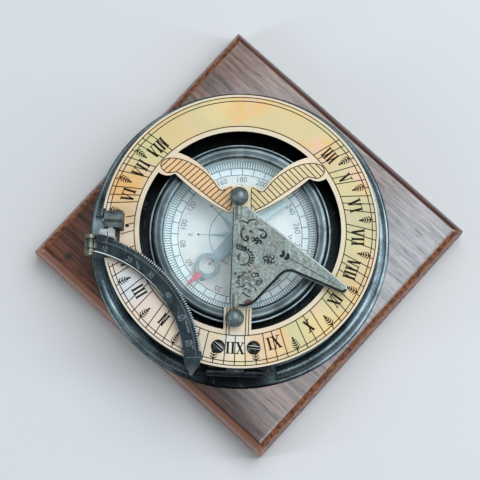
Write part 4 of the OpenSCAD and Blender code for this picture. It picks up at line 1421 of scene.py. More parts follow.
def lettering(text: str, height: float) -> tuple[np.ndarray, Faces]:
    """Plain letters as a thin closed mesh about their own middle.

    Args:
        text: the letters or digits.
        height: the height of a capital, in millimetres.

    Returns:
        The points, with the thickness from 0 to 1, and the faces.
    """
    curve = bpy.data.curves.new("letters", "FONT")
    curve.body, curve.extrude, curve.resolution_u = text, 0.5, 3
    holder = link("letters", curve)
    mesh = baked(holder)
    points = np.zeros(len(mesh.vertices) * 3)
    mesh.vertices.foreach_get("co", points)
    points = points.reshape(-1, 3)
    faces = [list(p.vertices) for p in mesh.polygons]
    middle = (points.min(0) + points.max(0)) / 2
    points[:, :2] = (points[:, :2] - middle[:2]) * height / 0.7
    points[:, 2] = points[:, 2] + 0.5
    bpy.data.objects.remove(holder)
    bpy.data.meshes.remove(mesh)
    bpy.data.curves.remove(curve)
    return points, faces


def stamp(sketch: Sketch, text: str, height: float, at: np.ndarray, up: np.ndarray, z: float,
          rise: float, narrow: float = 1.0) -> None:
    """Puts letters on a flat.

    Args:
        sketch: where to put them.
        text: the letters or digits.
        height: the height of a capital.
        at: their middle.
        up: the direction of their tops.
        z: the height of the flat.
        rise: how far they stand out.
        narrow: their width as a share of the plain one.
    """
    points, faces = lettering(text, height)
    points[:, 0] *= narrow
    flat = spread(points[:, :2], at, up)
    sketch.add(np.column_stack([flat, z + rise * points[:, 2]]), faces)


@dataclass(frozen=True)
class BoxRing:
    """A ring on the card: radial lines every few degrees, with a pale box between each two."""

    every: int
    line: Flat
    box_r: float
    box_half: float
    box_arc: float
    drop: float


@dataclass
class CardPrint:
    """The degree scale and the faint rose on the compass card; radii are in millimetres."""

    rise: float = 0.03
    pen: float = 0.13
    rings: tuple[BoxRing, ...] = (BoxRing(2, (29.2, 32.0), 30.6, 1.1, 0.62, 0.012),
                                  BoxRing(10, (26.2, 29.0), 27.6, 1.12, 4.3, 0.01))
    circles: tuple[Flat, ...] = ((26.15, 0.14), (29.0, 0.11), (12.9, 0.12), (4.6, 0.09))
    number_r: float = 24.2
    number_height: float = 2.45
    number_width: float = 0.9
    letters: tuple[tuple[int, str, float], ...] = (
        (0, "N", 21.6), (90, "E", 20.9), (180, "S", 20.9), (270, "W", 20.9))
    letter_height: float = 1.9
    spoke: Flat = (6.0, 17.4)
    spoke_half: float = 0.10
    tip: Flat = (17.0, 18.0)
    tip_halves: Flat = (0.5, 0.08)
    petal: Flat = (4.2, 13.6)
    petal_halves: Flat = (1.75, 0.05)
    petal_drop: float = 0.014
    blush: Flat = (6.6, 12.0)
    blush_halves: Flat = (0.9, 0.05)
    blush_aside: float = 2.0
    blush_drop: float = 0.018
    petal_points: int = 9

    @staticmethod
    def way(degrees: float) -> np.ndarray:
        """Direction of a bearing: 0 at -Y, growing towards -X."""
        return heading(-90.0 - degrees)

    def draw_ring(self, ink: Sketch, white: Sketch, ring: BoxRing) -> None:
        """Draws one ring of the scale.

        Args:
            ink: the sketch of the dark lines.
            white: the sketch of the pale boxes.
            ring: the ring.
        """
        low, high = CARD_Z, CARD_Z + self.rise
        for degrees in range(0, 360, ring.every):
            way = self.way(degrees)
            ink.ribbon(line(way * ring.line[0], way * ring.line[1]), self.pen, low, high)
            middle = -degrees - ring.every / 2
            box = circle(ring.box_r, middle - ring.box_arc, middle + ring.box_arc)
            white.ribbon(box, ring.box_half, low, high - ring.drop)

    def draw_rose(self, ink: Sketch, rose: Sketch, blush: Sketch) -> None:
        """Draws the rose: eight spokes with tips, and a petal and a blush beside each.

        Args:
            ink: the sketch of the spokes.
            rose: the sketch of the petals.
            blush: the sketch of the fields between them.
        """
        low, high, n = CARD_Z, CARD_Z + self.rise, self.petal_points
        for degrees in range(0, 360, 45):
            way = self.way(degrees)
            aside = np.array([way[1], -way[0]]) * self.blush_aside
            spoke, tip, petal, ground = (
                line(way * start, way * end, count) for (start, end), count in
                ((self.spoke, 2), (self.tip, 7), (self.petal, n), (self.blush, n)))
            ink.ribbon(spoke, self.spoke_half, low, high)
            ink.ribbon(tip, spindle(7, *self.tip_halves), low, high)
            rose.ribbon(petal, np.linspace(*self.petal_halves, n), low, high - self.petal_drop)
            blush.ribbon(ground + aside, spindle(n, *self.blush_halves), low,
                         high - self.blush_drop)

    def build(self) -> None:
        """Draws lines, boxes, numbers, letters and the rose."""
        ink, white, rose, blush = (on_dial() for _ in range(4))
        for ring in self.rings:
            self.draw_ring(ink, white, ring)
        for radius, half in self.circles:
            ink.ribbon(ring_of(radius, 2.0), half, CARD_Z, CARD_Z + self.rise, True)
        for degrees in range(20, 360, 20):
            way = self.way(degrees)
            stamp(ink, str(degrees), self.number_height, way * self.number_r, way, CARD_Z,
                  self.rise, self.number_width)
        for degrees, letter, radius in self.letters:
            way = self.way(degrees)
            stamp(ink, letter, self.letter_height, way * radius, way, CARD_Z, self.rise)
        self.draw_rose(ink, rose, blush)
        ink.finish("card_scale", Body.CASE, "card_ink", "card")
        white.finish("card_boxes", Body.CASE, "card_white", "card")
        rose.finish("card_rose", Body.CASE, "card_rose", "card")
        blush.finish("card_rose_ground", Body.CASE, "card_blush", "card")


@dataclass
class BladeEngraving:
    """The flowers, scrolls and arrow cut into the gnomon's face, and lines along its rim: a
    painted highlight along the style and painted shade on the lower and left edges.

    Each stroke is half its width and its points. Each loop is its middle, radius and half width:
    those finer than whole_below are whole rings, and the others are petals, open at one side.
    """

    rise: float = 0.02
    tail: Flat = (17.58, -10.26)
    head: Flat = (40.06, -22.06)
    shaft_halves: Flat = (0.17, 0.10)
    barbs: Flat = (0.4, 2.6)
    barb_half: float = 0.62
    barb_aside: float = 1.35
    echo: Flat = (0.40, -0.34)
    whole_below: float = 0.15
    edge_step: float = 0.6
    rim_inset: float = 0.14
    shortest_rim: int = 14
    strokes: tuple[tuple[float, tuple[Flat, ...]], ...] = (
        (0.15, ((-1.0, 2.2), (-0.2, 2.8), (0.8, 3.0), (1.8, 2.6), (2.7, 2.1), (3.2, 2.9),
                (4.2, 3.5), (5.3, 3.7), (6.5, 3.4), (7.4, 2.5))),
        (0.17, ((1.4, 0.6), (0.7, -0.3), (0.3, -1.7), (0.4, -3.1), (0.9, -4.3), (1.7, -5.1),
                (2.7, -5.2), (3.3, -4.5), (3.1, -3.7), (2.5, -3.4), (2.0, -3.9))),
        (0.14, ((3.6, -0.7), (4.4, -1.2), (5.1, -1.8))),
        (0.12, ((3.8, -1.6), (4.3, -1.2), (4.8, -0.7))),
        (0.19, ((8.8, -0.5), (9.7, -0.8), (10.5, -1.7), (10.5, -2.8), (9.9, -3.6), (8.9, -3.7),
                (8.3, -3.0), (8.6, -2.3), (9.2, -2.2))),
        (0.17, ((7.3, -0.8), (7.8, -0.3), (8.0, 0.2))),
        (0.17, ((7.9, -1.0), (8.4, -0.5), (8.8, 0.2))),
        (0.15, ((8.5, -1.2), (9.1, -0.7), (9.4, -0.2))),
        (0.17, ((-1.6, -6.5), (-1.1, -7.3), (-1.2, -8.3))),
        (0.17, ((-0.7, -6.5), (-0.1, -7.4), (-0.2, -8.5))),
        (0.17, ((0.2, -6.7), (0.8, -7.7), (0.7, -8.9))),
        (0.17, ((1.2, -7.0), (1.7, -8.0), (1.5, -9.1))),
        (0.16, ((2.2, -7.3), (2.6, -8.2), (2.4, -9.3))),
        (0.14, ((-1.5, -8.4), (-0.6, -8.7), (0.6, -9.1), (1.7, -9.3), (2.9, -9.3))),
        (0.15, ((2.3, -9.8), (3.2, -10.3), (4.0, -11.2), (4.2, -12.4), (4.0, -13.6), (3.4, -14.5),
                (2.4, -15.1), (1.3, -15.3), (0.2, -15.1))),
        (0.14, ((0.4, -10.4), (-0.3, -11.4), (-0.5, -12.6), (-0.1, -13.7))),
        (0.15, ((1.4, -26.4), (2.6, -27.4), (4.0, -28.1), (5.3, -28.3))),
        (0.12, ((-0.6, -21.1), (-0.2, -20.3), (0.6, -19.9), (1.4, -20.2))),
        (0.12, ((-0.8, -23.0), (-0.6, -22.2), (0.1, -21.8), (0.9, -22.0))),
        (0.12, ((-0.4, -25.0), (0.1, -24.4), (1.0, -24.2), (1.6, -24.7))),
        (0.12, ((2.1, -25.6), (2.7, -25.1), (3.5, -25.1), (4.1, -25.7))),
        (0.12, ((1.4, -18.8), (1.8, -18.3), (2.6, -18.4), (3.0, -18.9))),
        (0.12, ((5.9, -24.1), (6.6, -24.4), (7.1, -25.1), (6.9, -25.9))),
        (0.13, ((8.6, -20.3), (9.2, -20.9), (9.6, -21.8), (9.6, -22.8))),
        (0.12, ((-2.0, -19.3), (-1.6, -18.8), (-1.0, -18.9), (-0.7, -19.4))),
        (0.2, ((1.9, -9.0), (2.3, -8.5), (2.2, -7.9))),
        (0.2, ((3.1, -9.5), (3.6, -9.1), (3.7, -8.4))),
        (0.2, ((3.9, -10.1), (4.5, -10.0), (4.8, -9.3))),
        (0.2, ((4.5, -11.1), (5.1, -11.1), (5.6, -10.6))),
        (0.2, ((4.8, -12.1), (5.3, -12.2), (6.0, -11.9))),
        (0.2, ((4.8, -13.1), (5.2, -13.4), (5.9, -13.3))),
        (0.2, ((4.4, -14.1), (4.8, -14.5), (5.5, -14.6))),
        (0.2, ((3.9, -14.9), (4.1, -15.5), (4.7, -15.8))))
    loops: tuple[tuple[float, float, float, float], ...] = (
        (6.5, 1.9, 0.6, 0.13), (1.2, -0.5, 0.41, 0.12), (5.3, -4.7, 0.64, 0.24),
        (6.6, -5.7, 0.6, 0.24), (8.0, -5.7, 0.64, 0.24), (7.2, -4.5, 0.51, 0.2),
        (2.7, -3.8, 0.37, 0.12), (3.1, -21.9, 0.92, 0.12), (3.1, -21.9, 1.74, 0.11),
        (6.2, -19.4, 0.92, 0.14), (7.4, -19.3, 0.6, 0.22), (8.2, -22.5, 1.01, 0.14),
        (8.2, -22.5, 0.46, 0.11), (4.7, -26.0, 0.55, 0.12), (0.3, -20.8, 0.46, 0.12),
        (0.3, -23.1, 0.41, 0.12), (6.2, -21.4, 0.41, 0.12), (2.0, -24.2, 0.37, 0.11),
        (5.0, -23.7, 0.46, 0.12), (1.8, -19.5, 0.41, 0.12), (4.4, -18.1, 0.37, 0.12),
        (13.9, -13.3, 0.64, 0.15), (12.7, -14.5, 0.64, 0.15), (11.0, -13.9, 0.64, 0.15),
        (10.7, -12.2, 0.64, 0.15), (11.9, -11.1, 0.64, 0.15), (13.6, -11.6, 0.64, 0.15),
        (12.3, -12.8, 0.41, 0.2))

    def cut(self, sketch: Sketch, path: np.ndarray, half: float | np.ndarray,
            closed: bool = False) -> None:
        """One engraved line, or a line of painted highlight or shade along the rim."""
        sketch.ribbon(path, half, BLADE_Z - SINK, BLADE_Z + self.rise, closed)

    def draw_ornament(self, sketch: Sketch) -> None:
        """Cuts the strokes, each with a fine echo beside it, and the rings and petals.

        Args:
            sketch: where to cut them.
        """
        for half, points in self.strokes:
            path = curve_through(points, 6)
            self.cut(sketch, path, spindle(len(path), half * 1.7, 0.08))
            self.cut(sketch, path + np.array(self.echo), spindle(len(path), half * 0.8, 0.05))
        for x, y, radius, half in self.loops:
            if half < self.whole_below:
                self.cut(sketch, ring_of(radius, 20.0, (x, y)), half * 1.35, True)
                continue
            start = 37.0 * x + 53.0 * y
            petal = circle(radius * 1.1, start, start + 290.0, 20.0, (x, y))
            self.cut(sketch, petal, spindle(len(petal), half * 1.75, 0.08))

    def draw_arrow(self, sketch: Sketch) -> None:
        """Cuts the arrow along the pointer, with two pairs of barbs at its tail.

        Args:
            sketch: where to cut it.
        """
        head, tail = np.array(self.head), np.array(self.tail)
        way = (head - tail) / np.linalg.norm(head - tail)
        side = np.array([-way[1], way[0]])
        shaft = line(tail + way * 1.2, head, 12)
        self.cut(sketch, shaft, np.linspace(*self.shaft_halves, len(shaft)))
        for along in self.barbs:
            for sign in (-1, 1):
                at = tail + way * along
                outer = at + side * sign * self.barb_aside - way * 0.8
                self.cut(sketch, line(outer, at + way * 0.35, 6), self.barb_half)

    def build(self) -> None:
        """Cuts the ornament and the arrow, and lays the painted highlight and shade along the rim.
        """
        sketch = on_dial()
        self.draw_ornament(sketch)
        self.draw_arrow(sketch)
        sketch.finish("blade_engraving", Body.GNOMON, "engraving_and_painted_shade", "pewter")
        self.draw_rim()

    @staticmethod
    def outline() -> np.ndarray:
        """The blade's outline: the borders of its top faces, walked from corner to corner.

        Returns:
            The points of the widest loop, in millimetres.
        """
        work = bmesh.new()
        work.from_mesh(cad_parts["gnomon"].data)
        bmesh.ops.remove_doubles(work, verts=work.verts, dist=MERGE)
        top = {f for f in work.faces if f.normal.z > 0.99
               and abs(f.calc_center_median().z / MM - BLADE_Z) < 0.05}
        nexts: dict[int, list[int]] = {}
        for edge in work.edges:
            if sum(f in top for f in edge.link_faces) == 1:
                a, b = edge.verts[0].index, edge.verts[1].index
                nexts.setdefault(a, []).append(b)
                nexts.setdefault(b, []).append(a)
        work.verts.ensure_lookup_table()
        left, loops = set(nexts), []
        while left:
            walk = [left.pop()]
            while ahead := [n for n in nexts[walk[-1]] if n in left]:
                walk.append(ahead[0])
                left.discard(ahead[0])
            loops.append(np.array([work.verts[i].co[:2] for i in walk]) / MM)
        work.free()
        loop = max(loops, key=lambda path: np.ptp(path[:, 0]) * np.ptp(path[:, 1]))
        return anticlockwise(loop)

    def draw_rim(self) -> None:
        """Lines just inside the outline: a painted highlight along the style, painted shade below
        and at the left.
        """
        loop = self.outline()
        step = np.roll(loop, -1, 0) - loop
        pieces = np.maximum(1, np.ceil(np.linalg.norm(step, axis=1) / self.edge_step).astype(int))
        path = np.concatenate([loop[i] + step[i] * np.linspace(0, 1, n, endpoint=False)[:, None]
                               for i, n in enumerate(pieces)])
        along = headings(path, True)
        out = np.column_stack([along[:, 1], -along[:, 0]])
        style = out @ np.array([0.8, 0.6]) > 0.75
        lower = ~style & (out[:, 1] < -0.25)
        left = ~style & ~lower & (out[:, 0] < -0.8)
        # A painted highlight along the style; painted shade below and at the left.
        sides = (("style_edge_painted_highlight", style, 0.15, "painted_highlight_ink"),
                 ("lower_edges_painted_shade", lower, 0.52, "engraving_and_painted_shade"),
                 ("left_edge_painted_shade", left, 0.17, "engraving_and_painted_shade"))
        for name, chosen, half, finish in sides:
            sketch = Sketch()
            first = int(np.argmin(chosen))
            inner = np.roll(path - out * (self.rim_inset + half), -first, 0)
            for start, stop in runs(np.roll(chosen, -first)):
                if stop - start > self.shortest_rim:
                    self.cut(sketch, inner[start:stop], half)
            sketch.finish(name, Body.GNOMON, finish, "pewter")


@dataclass
class ArcScale:
    """Marks on the latitude arc: the line beside the teeth, ticks, numbers and the tip's line, and
    painted highlights on the last teeth and the inner edge.

    Radii are in millimetres and angles in degrees, from +Y towards +X about the arc's centre.
    """

    rise: float = 0.02
    line_r: float = 52.5
    line_span: Flat = (13.0, 84.0)
    line_half: float = 0.09
    tick_start: float = 14.2
    ticks: int = 62
    tick_lengths: Flat = (1.3, 0.7)
    tick_half: float = 0.06
    tooth_step: float = 1.1
    last_tooth: float = 82.0
    # Teeth whose tips get a painted highlight, and the painted highlight along the inner edge
    painted_highlight_teeth: int = 46
    tooth_reach: Flat = (53.85, 54.75)
    tooth_half: float = 0.14
    edge_r: float = 47.95
    edge_span: Flat = (9.0, 52.0)
    edge_halves: Flat = (0.22, 0.04)
    numbers: int = 6
    number_r: float = 50.0
    number_start: float = 15.3
    number_step: float = 12.5
    number_height: float = 2.2
    number_width: float = 0.85
    tip_reach: Flat = (54.2, 48.4)
    tip_angle: float = 84.5

    @staticmethod
    def centre() -> np.ndarray:
        """The arc's middle: left of its pin by the pin's height over the dial's hinge."""
        return np.array([PIVOT[0] - (ARC_AXIS_Z - HINGE[2]), HINGE[1]])

    def at(self, radius: float, angle: float | np.ndarray) -> np.ndarray:
        """Points of the arc: the centre plus the radius times the angle's sine and cosine.

        Args:
            radius: the distance from the arc's centre.
            angle: one angle or several.

        Returns:
            A point for each angle.
        """
        a = np.radians(angle)
        return self.centre() + radius * np.stack([np.sin(a), np.cos(a)], axis=-1)

    def mark(self, sketch: Sketch, path: np.ndarray, half: float | np.ndarray) -> None:
        """One line on the arc's flat."""
        sketch.ribbon(path, half, ARC_Z - SINK, ARC_Z + self.rise)

    def radial(self, sketch: Sketch, reach: Flat, angle: float, half: float,
               count: int = 2) -> None:
        """One line across the arc, from one radius to another at an angle."""
        ends = self.at(reach[0], angle), self.at(reach[1], angle)
        self.mark(sketch, line(*ends, count), half)

    def build(self) -> None:
        """Cuts the marks, and paints highlights on the last teeth's tips and along the inner edge.
        """
        sketch, highlight_sketch = Sketch(), Sketch()
        edge = self.at(self.line_r, np.linspace(*self.line_span, 60))
        self.mark(sketch, edge, self.line_half)
        long, short = self.tick_lengths
        for i in range(self.ticks):
            reach = (self.line_r, self.line_r + (short if i % 5 else long))
            angle = self.tick_start + i * self.tooth_step
            self.radial(sketch, reach, angle, self.tick_half)
        # Painted highlights on the last teeth's tips and along the inner edge.
        for i in range(self.painted_highlight_teeth):
            angle = self.last_tooth - (i + 0.6) * self.tooth_step
            self.radial(highlight_sketch, self.tooth_reach, angle, self.tooth_half)
        edge = self.at(self.edge_r, np.linspace(*self.edge_span, 50))
        self.mark(highlight_sketch, edge, np.linspace(*self.edge_halves, 50))
        highlight_sketch.finish("arc_painted_highlights", Body.ARC, "painted_highlight_ink", "antique_brass")
        for i in range(self.numbers):
            angle = self.number_start + i * self.number_step
            stamp(sketch, str(10 * i + 10), self.number_height, self.at(self.number_r, angle),
                  self.at(1.0, angle) - self.centre(), ARC_Z - SINK, self.rise + SINK,
                  self.number_width)
        self.radial(sketch, self.tip_reach, self.tip_angle, self.line_half, 3)
        sketch.finish("arc_scale", Body.ARC, "engraved_pale", "antique_brass")


@dataclass
class ScrewSlots:
    """Painted shade in the slots, and painted highlights on their lips, on the two domed screws,
    in millimetres.

    Each lip is its distance aside from the slot's middle and half its width.
    """

    pitch: float = 14.6
    back: float = 48.6
    head: float = 2.55
    dome: float = 4.22
    turns: Flat = (-40.0, -4.0)
    slot_reach: float = 2.4
    slot_half: float = 0.36
    slot_depths: Flat = (0.72, 0.66)
    lips: tuple[Flat, ...] = ((0.58, 0.12), (-0.54, 0.06))
    lip_span: Flat = (-0.06, 0.02)

    def mark(self, sketch: Sketch, at: np.ndarray, turn: float, lip: Flat, top: float) -> None:
        """One bar over a dome: r off the middle it lies R - sqrt(R * R - r * r) lower.

        Args:
            sketch: where to draw it.
            at: the screw's middle.
            turn: the slot's direction, in degrees.
            lip: the bar's distance aside and half its width.
            top: the height of the dome.
        """
        way = heading(turn)
        aside, half = lip
        side = np.array([-way[1], way[0]]) * aside
        reach = math.sqrt(self.head ** 2 - aside ** 2)
        path = line(at + side - way * reach, at + side + way * reach, 17)
        sketch.ribbon(path, half, top + self.lip_span[0], top + self.lip_span[1])
        points = sketch.points[-1]
        away = np.hypot(points[:, 0] - at[0], points[:, 1] - at[1])
        points[:, 2] -= self.dome - np.sqrt(self.dome ** 2 - away ** 2)

    def build(self) -> None:
        """Marks both screws."""
        top = corners("dial_screws")[1][2]
        low, high = (top - depth for depth in self.slot_depths)
        lips, slots = on_dial(), on_dial()
        for sign, turn in zip((-1, 1), self.turns):
            at = np.array([sign * self.pitch / 2, -self.back])
            way = heading(turn) * self.slot_reach
            # Painted shade in the slot, and painted highlights on its lips.
            slots.ribbon(line(at - way, at + way, 9), self.slot_half, low, high)
            for lip in self.lips:
                self.mark(lips, at, turn, lip, top)
        slots.finish("screw_slots_painted_shade", Body.DIAL, "engraving_and_painted_shade", "dark_steel")
        lips.finish("screw_lips_painted_highlight", Body.DIAL, "painted_highlight_ink", "dark_steel")


@dataclass
class WoodenBase:
    """The square base with an ovolo edge and crisp mitred corners, in millimetres.

    The foot's rows are insets and heights: a small chamfer, the side and a quirk.
    """

    half: float = 65.0
    height: float = 18.0
    corner: float = 0.7
    corner_points: int = 7
    foot: tuple[Flat, ...] = (
        (1.2, 0.0), (0.45, 0.06), (0.12, 0.3), (0.0, 0.8), (0.0, 6.0), (0.0, 12.55), (0.08, 12.8),
        (0.30, 12.9))
    ovolo_start: Flat = (0.35, 12.95)
    ovolo_reach: Flat = (3.9, 5.05)
    ovolo_points: int = 15
    screws: int = 3
    screw_r: float = 44.0
    recess_r: float = 3.82
    recess_span: Flat = (-1.0, 4.0)

    def section(self) -> tuple[np.ndarray, np.ndarray]:
        """The edge from the underside to the top: the foot, then a quarter ellipse.

        Returns:
            The insets and the heights.
        """
        a = np.linspace(0, np.pi / 2, self.ovolo_points)
        round_part = np.column_stack([1 - np.cos(a), np.sin(a)]) * self.ovolo_reach
        inset, z = np.vstack([self.foot, round_part + self.ovolo_start]).T
        z[-1] = self.height
        return inset, z

    def block(self) -> bpy.types.Object:
        """The plain block: the section carried round the square as one grid, closed at both ends.

        Returns:
            The block, linked but not yet a piece.
        """
        inset, z = self.section()
        quarter = np.linspace(-90, 0, self.corner_points)
        turn = np.radians(np.concatenate([quarter + 90 * k for k in range(4)]))
        signs = np.array([[1, -1], [1, 1], [-1, 1], [-1, -1]], float)
        signs = np.repeat(signs, self.corner_points, axis=0)
        reach = (self.half - inset - self.corner)[:, None]
        flat = np.stack([reach * signs[:, 0] + self.corner * np.cos(turn),
                         reach * signs[:, 1] + self.corner * np.sin(turn)], axis=-1)
        x_way = heading(BASE_TURN)
        spin = np.array([x_way, [-x_way[1], x_way[0]]])
        n, m = len(z), len(turn)
        heights = np.broadcast_to(z[:, None, None], (n, m, 1))
        points = np.concatenate([flat @ spin, heights], axis=2).reshape(-1, 3)
        i, j = np.arange(n - 1)[:, None] * m, np.arange(m)[None, :]
        k = (j + 1) % m
        quads = np.stack([i + j, i + k, i + m + k, i + m + j], axis=2).reshape(-1, 4).tolist()
        caps = [list(range(m - 1, -1, -1)), list(range((n - 1) * m, n * m))]
        mesh = bpy.data.meshes.new("base_block")
        mesh.from_pydata((points * MM).tolist(), [], quads + caps)
        mesh.update()
        return link("base_block", mesh)

    def recesses(self) -> bpy.types.Object:
        """Short cylinders that cut the screw recesses from below.

        Returns:
            The cutter, linked but not yet a piece.
        """
        sketch = on_dial()
        for i in range(self.screws):
            centre = tuple(heading(90 + 360 * i / self.screws) * self.screw_r)
            sketch.fill(ring_of(self.recess_r, 7.5, centre), *self.recess_span)
        return link("recess_cutter", sketch.mesh("recess_cutter"))

    def build(self) -> None:
        """Cuts the recesses into the block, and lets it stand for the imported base."""
        block, cutter = self.block(), self.recesses()
        carve = block.modifiers.new("recesses", "BOOLEAN")
        carve.operation, carve.object, carve.solver = "DIFFERENCE", cutter, "EXACT"
        carved = baked(block)
        bpy.data.objects.remove(block)
        bpy.data.objects.remove(cutter)
        shade(carved, BASE_CREASE)
        piece = settle(carved, "base_block", Body.CASE, "polished_wood")
        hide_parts("wooden_base")


@dataclass
class EasedCopy:
    """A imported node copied, merged and given soft edges.

    The width is in millimetres and the angles are in degrees: faces flatter than flat become
    one face, and edges that bend past sharp are eased.
    """

    node: str
    name: str
    body: Body
    finish: str
    slot: str
    width: float = 0.2
    segments: int = 2
    flat: float = 1.0
    sharp: float = 35.0

    def build(self) -> bpy.types.Object:
        """Merges a copy's doubles, drops the edges inside its flats and bevels the sharp ones.

        Returns:
            The new piece.
        """
        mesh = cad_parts[self.node].data.copy()
        mesh.name = self.name
        work = bmesh.new()
        work.from_mesh(mesh)
        bmesh.ops.remove_doubles(work, verts=work.verts, dist=MERGE)
        bmesh.ops.dissolve_limit(work, angle_limit=math.radians(self.flat), verts=work.verts,
                                 edges=work.edges)
        work.to_mesh(mesh)
        work.free()
        if mesh.has_custom_normals:
            mesh.attributes.remove(mesh.attributes["custom_normal"])
        mesh.materials.clear()
        shade(mesh, EASED_CREASE)
        piece = settle(mesh, self.name, self.body, self.finish)
        ease = piece.modifiers.new("eased_edges", "BEVEL")
        ease.width, ease.segments, ease.limit_method = self.width * MM, self.segments, "ANGLE"
        ease.angle_limit = math.radians(self.sharp)
        ease.harden_normals = True
        ease.use_clamp_overlap = True
        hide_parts(self.node)
        return piece


@dataclass
class PackedFinishes:
    """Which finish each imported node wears, and which nodes are shown by eased copies."""

    table: dict[str, str] = field(default_factory=lambda: {
        "base_screws": "plain_steel", "case_body": "gunmetal_case",
        "case_hinge_leaf": "blackened_hinge", "case_leaf_rivets": "worn_brass",
        "dial_hinge_pin": "blackened_hinge", "compass_bowl": "gunmetal_case",
        "bowl_screws": "plain_steel", "compass_bezel": "gunmetal_bezel",
        "compass_glass": "cover_glass", "spacer_ring": "plate_brass",
        "compass_card": "compass_card_sheet", "pivot_post": "plate_brass",
        "needle": "painted_needle", "needle_cap": "plate_brass",
        "dial_plate": "blackened_plate", "dial_face": "printed_hour_face",
        "dial_hinge_leaf": "blackened_hinge", "gnomon_post_upper": "gunmetal_balls",
        "gnomon_post_lower": "gunmetal_balls", "post_nuts": "plate_brass",
        "gnomon_pins": "worn_brass", "arc_bracket_screws": "blackened_screws",
        "arc_pin": "worn_brass", "index_pawl": "bright_steel", "pawl_pin": "worn_brass",
        "index_spring": "plain_steel"})
    copies: tuple[EasedCopy, ...] = (
        EasedCopy("gnomon", "gnomon_blade", Body.GNOMON, "pewter_blade", "pewter", 0.22),
        EasedCopy("latitude_arc", "toothed_arc", Body.ARC, "blackened_arc", "antique_brass",
                  0.12, 1),
        EasedCopy("index_block", "index_housing", Body.DIAL, "blackened_block",
                  "antique_brass", 0.4, 3),
        EasedCopy("dial_screws", "slotted_screws", Body.DIAL, "blackened_screws", "dark_steel",
                  0.14),
        EasedCopy("arc_bracket", "arc_ears", Body.DIAL, "worn_brass", "worn_brass", 0.15))

    def build(self) -> None:
        """Dresses the nodes that stay, and makes the eased copies of the others."""
        for node, finish in self.table.items():
            BOOK.dress(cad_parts[node], finish)
        for copy in self.copies:
            copy.build()


@dataclass(frozen=True)
class Lamp:
    """A soft oblong area lamp; places and sizes are in metres, and its power is in watts."""

    name: str
    at: Place
    size: Flat
    power: float
    colour: Colour
    look: Place = (0.0, 0.0, 0.03)

    def build(self) -> None:
        """Hangs the lamp and turns it towards the point that it looks at."""
        data = bpy.data.lights.new(self.name, "AREA")
        data.shape, data.size, data.size_y = "RECTANGLE", *self.size
        data.energy, data.color = self.power, self.colour
        lamp = link(self.name, data)
        lamp.location = self.at
        ahead = Vector(self.look) - Vector(self.at)
        lamp.rotation_euler = ahead.to_track_quat("-Z", "Y").to_euler()


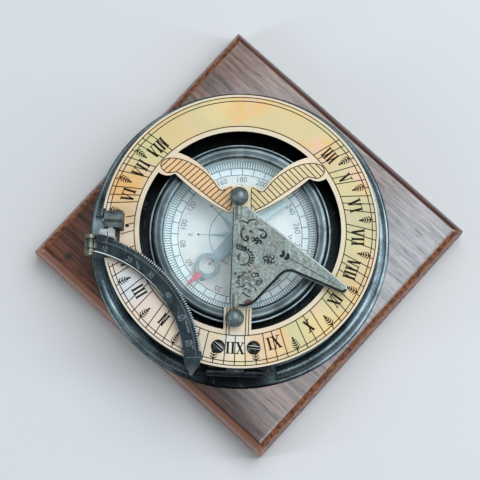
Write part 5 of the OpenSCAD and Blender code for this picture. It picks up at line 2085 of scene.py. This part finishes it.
@dataclass
class Studio:
    """Camera, lamps, pale floor and sky; the camera's distance and aim are in millimetres."""

    azimuth: float = 0.0
    elevation: float = 80.67
    roll: float = 2.2
    distance: float = 860.0
    lens: float = 153.83
    aim: Place = (0.05, -2.02, 30.0)
    sky: Colour = (0.80, 0.87, 0.93)
    sky_strength: float = 0.25
    floor_half: float = 3.0
    floor_tints: tuple[Colour, Colour] = ((0.70, 0.71, 0.72), (0.74, 0.745, 0.75))
    lamps: tuple[Lamp, ...] = (
        Lamp("far_softbox", (0.08, 0.60, 0.92), (0.66, 0.50), 2.2, (1.0, 0.985, 0.955)),
        Lamp("upper_panel", (0.36, 0.13, 1.00), (0.76, 0.88), 6.9, (0.92, 0.96, 1.0)),
        Lamp("corner_softbox", (0.22, 0.16, 0.98), (0.20, 0.26), 0.42, (0.62, 0.86, 1.0)),
        Lamp("left_strip", (-0.60, -0.22, 0.36), (0.10, 0.60), 1.4, (0.86, 0.94, 1.0)),
        Lamp("right_strip", (0.66, -0.06, 0.34), (0.12, 0.55), 1.2, (0.88, 0.95, 1.0)))

    def camera(self) -> None:
        """Stands the camera: turned from -Y towards -X, raised, and rolled about its own view."""
        az, el, roll = (math.radians(v) for v in (self.azimuth, self.elevation, self.roll))
        back = Vector((-math.sin(az) * math.cos(el), -math.cos(az) * math.cos(el), math.sin(el)))
        target = Vector((DIAL[0] + self.aim[0], DIAL[1] + self.aim[1], self.aim[2])) * MM
        right = (-back).cross(Vector((0, 0, 1))).normalized()
        up = right.cross(-back)
        x = right * math.cos(roll) + up * math.sin(roll)
        y = -right * math.sin(roll) + up * math.cos(roll)
        data = bpy.data.cameras.new("view_camera")
        data.lens, data.sensor_width = self.lens, 36.0
        data.clip_start, data.clip_end = 0.01, 20.0
        camera = link("view_camera", data)
        turn = Matrix((x, y, back)).transposed().to_4x4()
        camera.matrix_world = Matrix.Translation(target + back * self.distance * MM) @ turn
        bpy.context.scene.camera = camera

    def floor(self) -> None:
        """A wide pale floor with the faintest mottle."""
        mesh = bpy.data.meshes.new("floor")
        side = self.floor_half
        flat = [(-side, -side, 0), (side, -side, 0), (side, side, 0), (-side, side, 0)]
        mesh.from_pydata(flat, [], [(0, 1, 2, 3)])
        floor = link("floor", mesh)
        material, shelf, shader = blank_material("pale_floor")
        tint = shelf.mix(shelf.noise(shelf.place(), 4.0, 3.0), *self.floor_tints)
        feed(shelf, shader, Base_Color=tint, Roughness=0.85, Specular_IOR_Level=0.2)
        mesh.materials.append(material)

    def air(self) -> None:
        """The sky's even light."""
        world = bpy.data.worlds.new("studio_air")
        world.use_nodes = True
        sky = world.node_tree.nodes["Background"]
        sky.inputs["Color"].default_value = (*self.sky, 1.0)
        sky.inputs["Strength"].default_value = self.sky_strength
        bpy.context.scene.world = world

    def build(self) -> None:
        """Sets up the whole studio."""
        bpy.context.scene.view_settings.view_transform = "Standard"
        self.air()
        for lamp in self.lamps:
            lamp.build()
        self.floor()
        self.camera()


def main() -> None:
    """Builds the finishes, the marks, the eased pieces and the studio in order."""
    logging.basicConfig(level=logging.INFO, format="%(message)s")
    BOOK.open()
    Studio().build()
    PackedFinishes().build()
    WoodenBase().build()
    HourPrint().build()
    CardPrint().build()
    BladeEngraving().build()
    ArcScale().build()
    ScrewSlots().build()


if __name__ == "__main__":
    main()
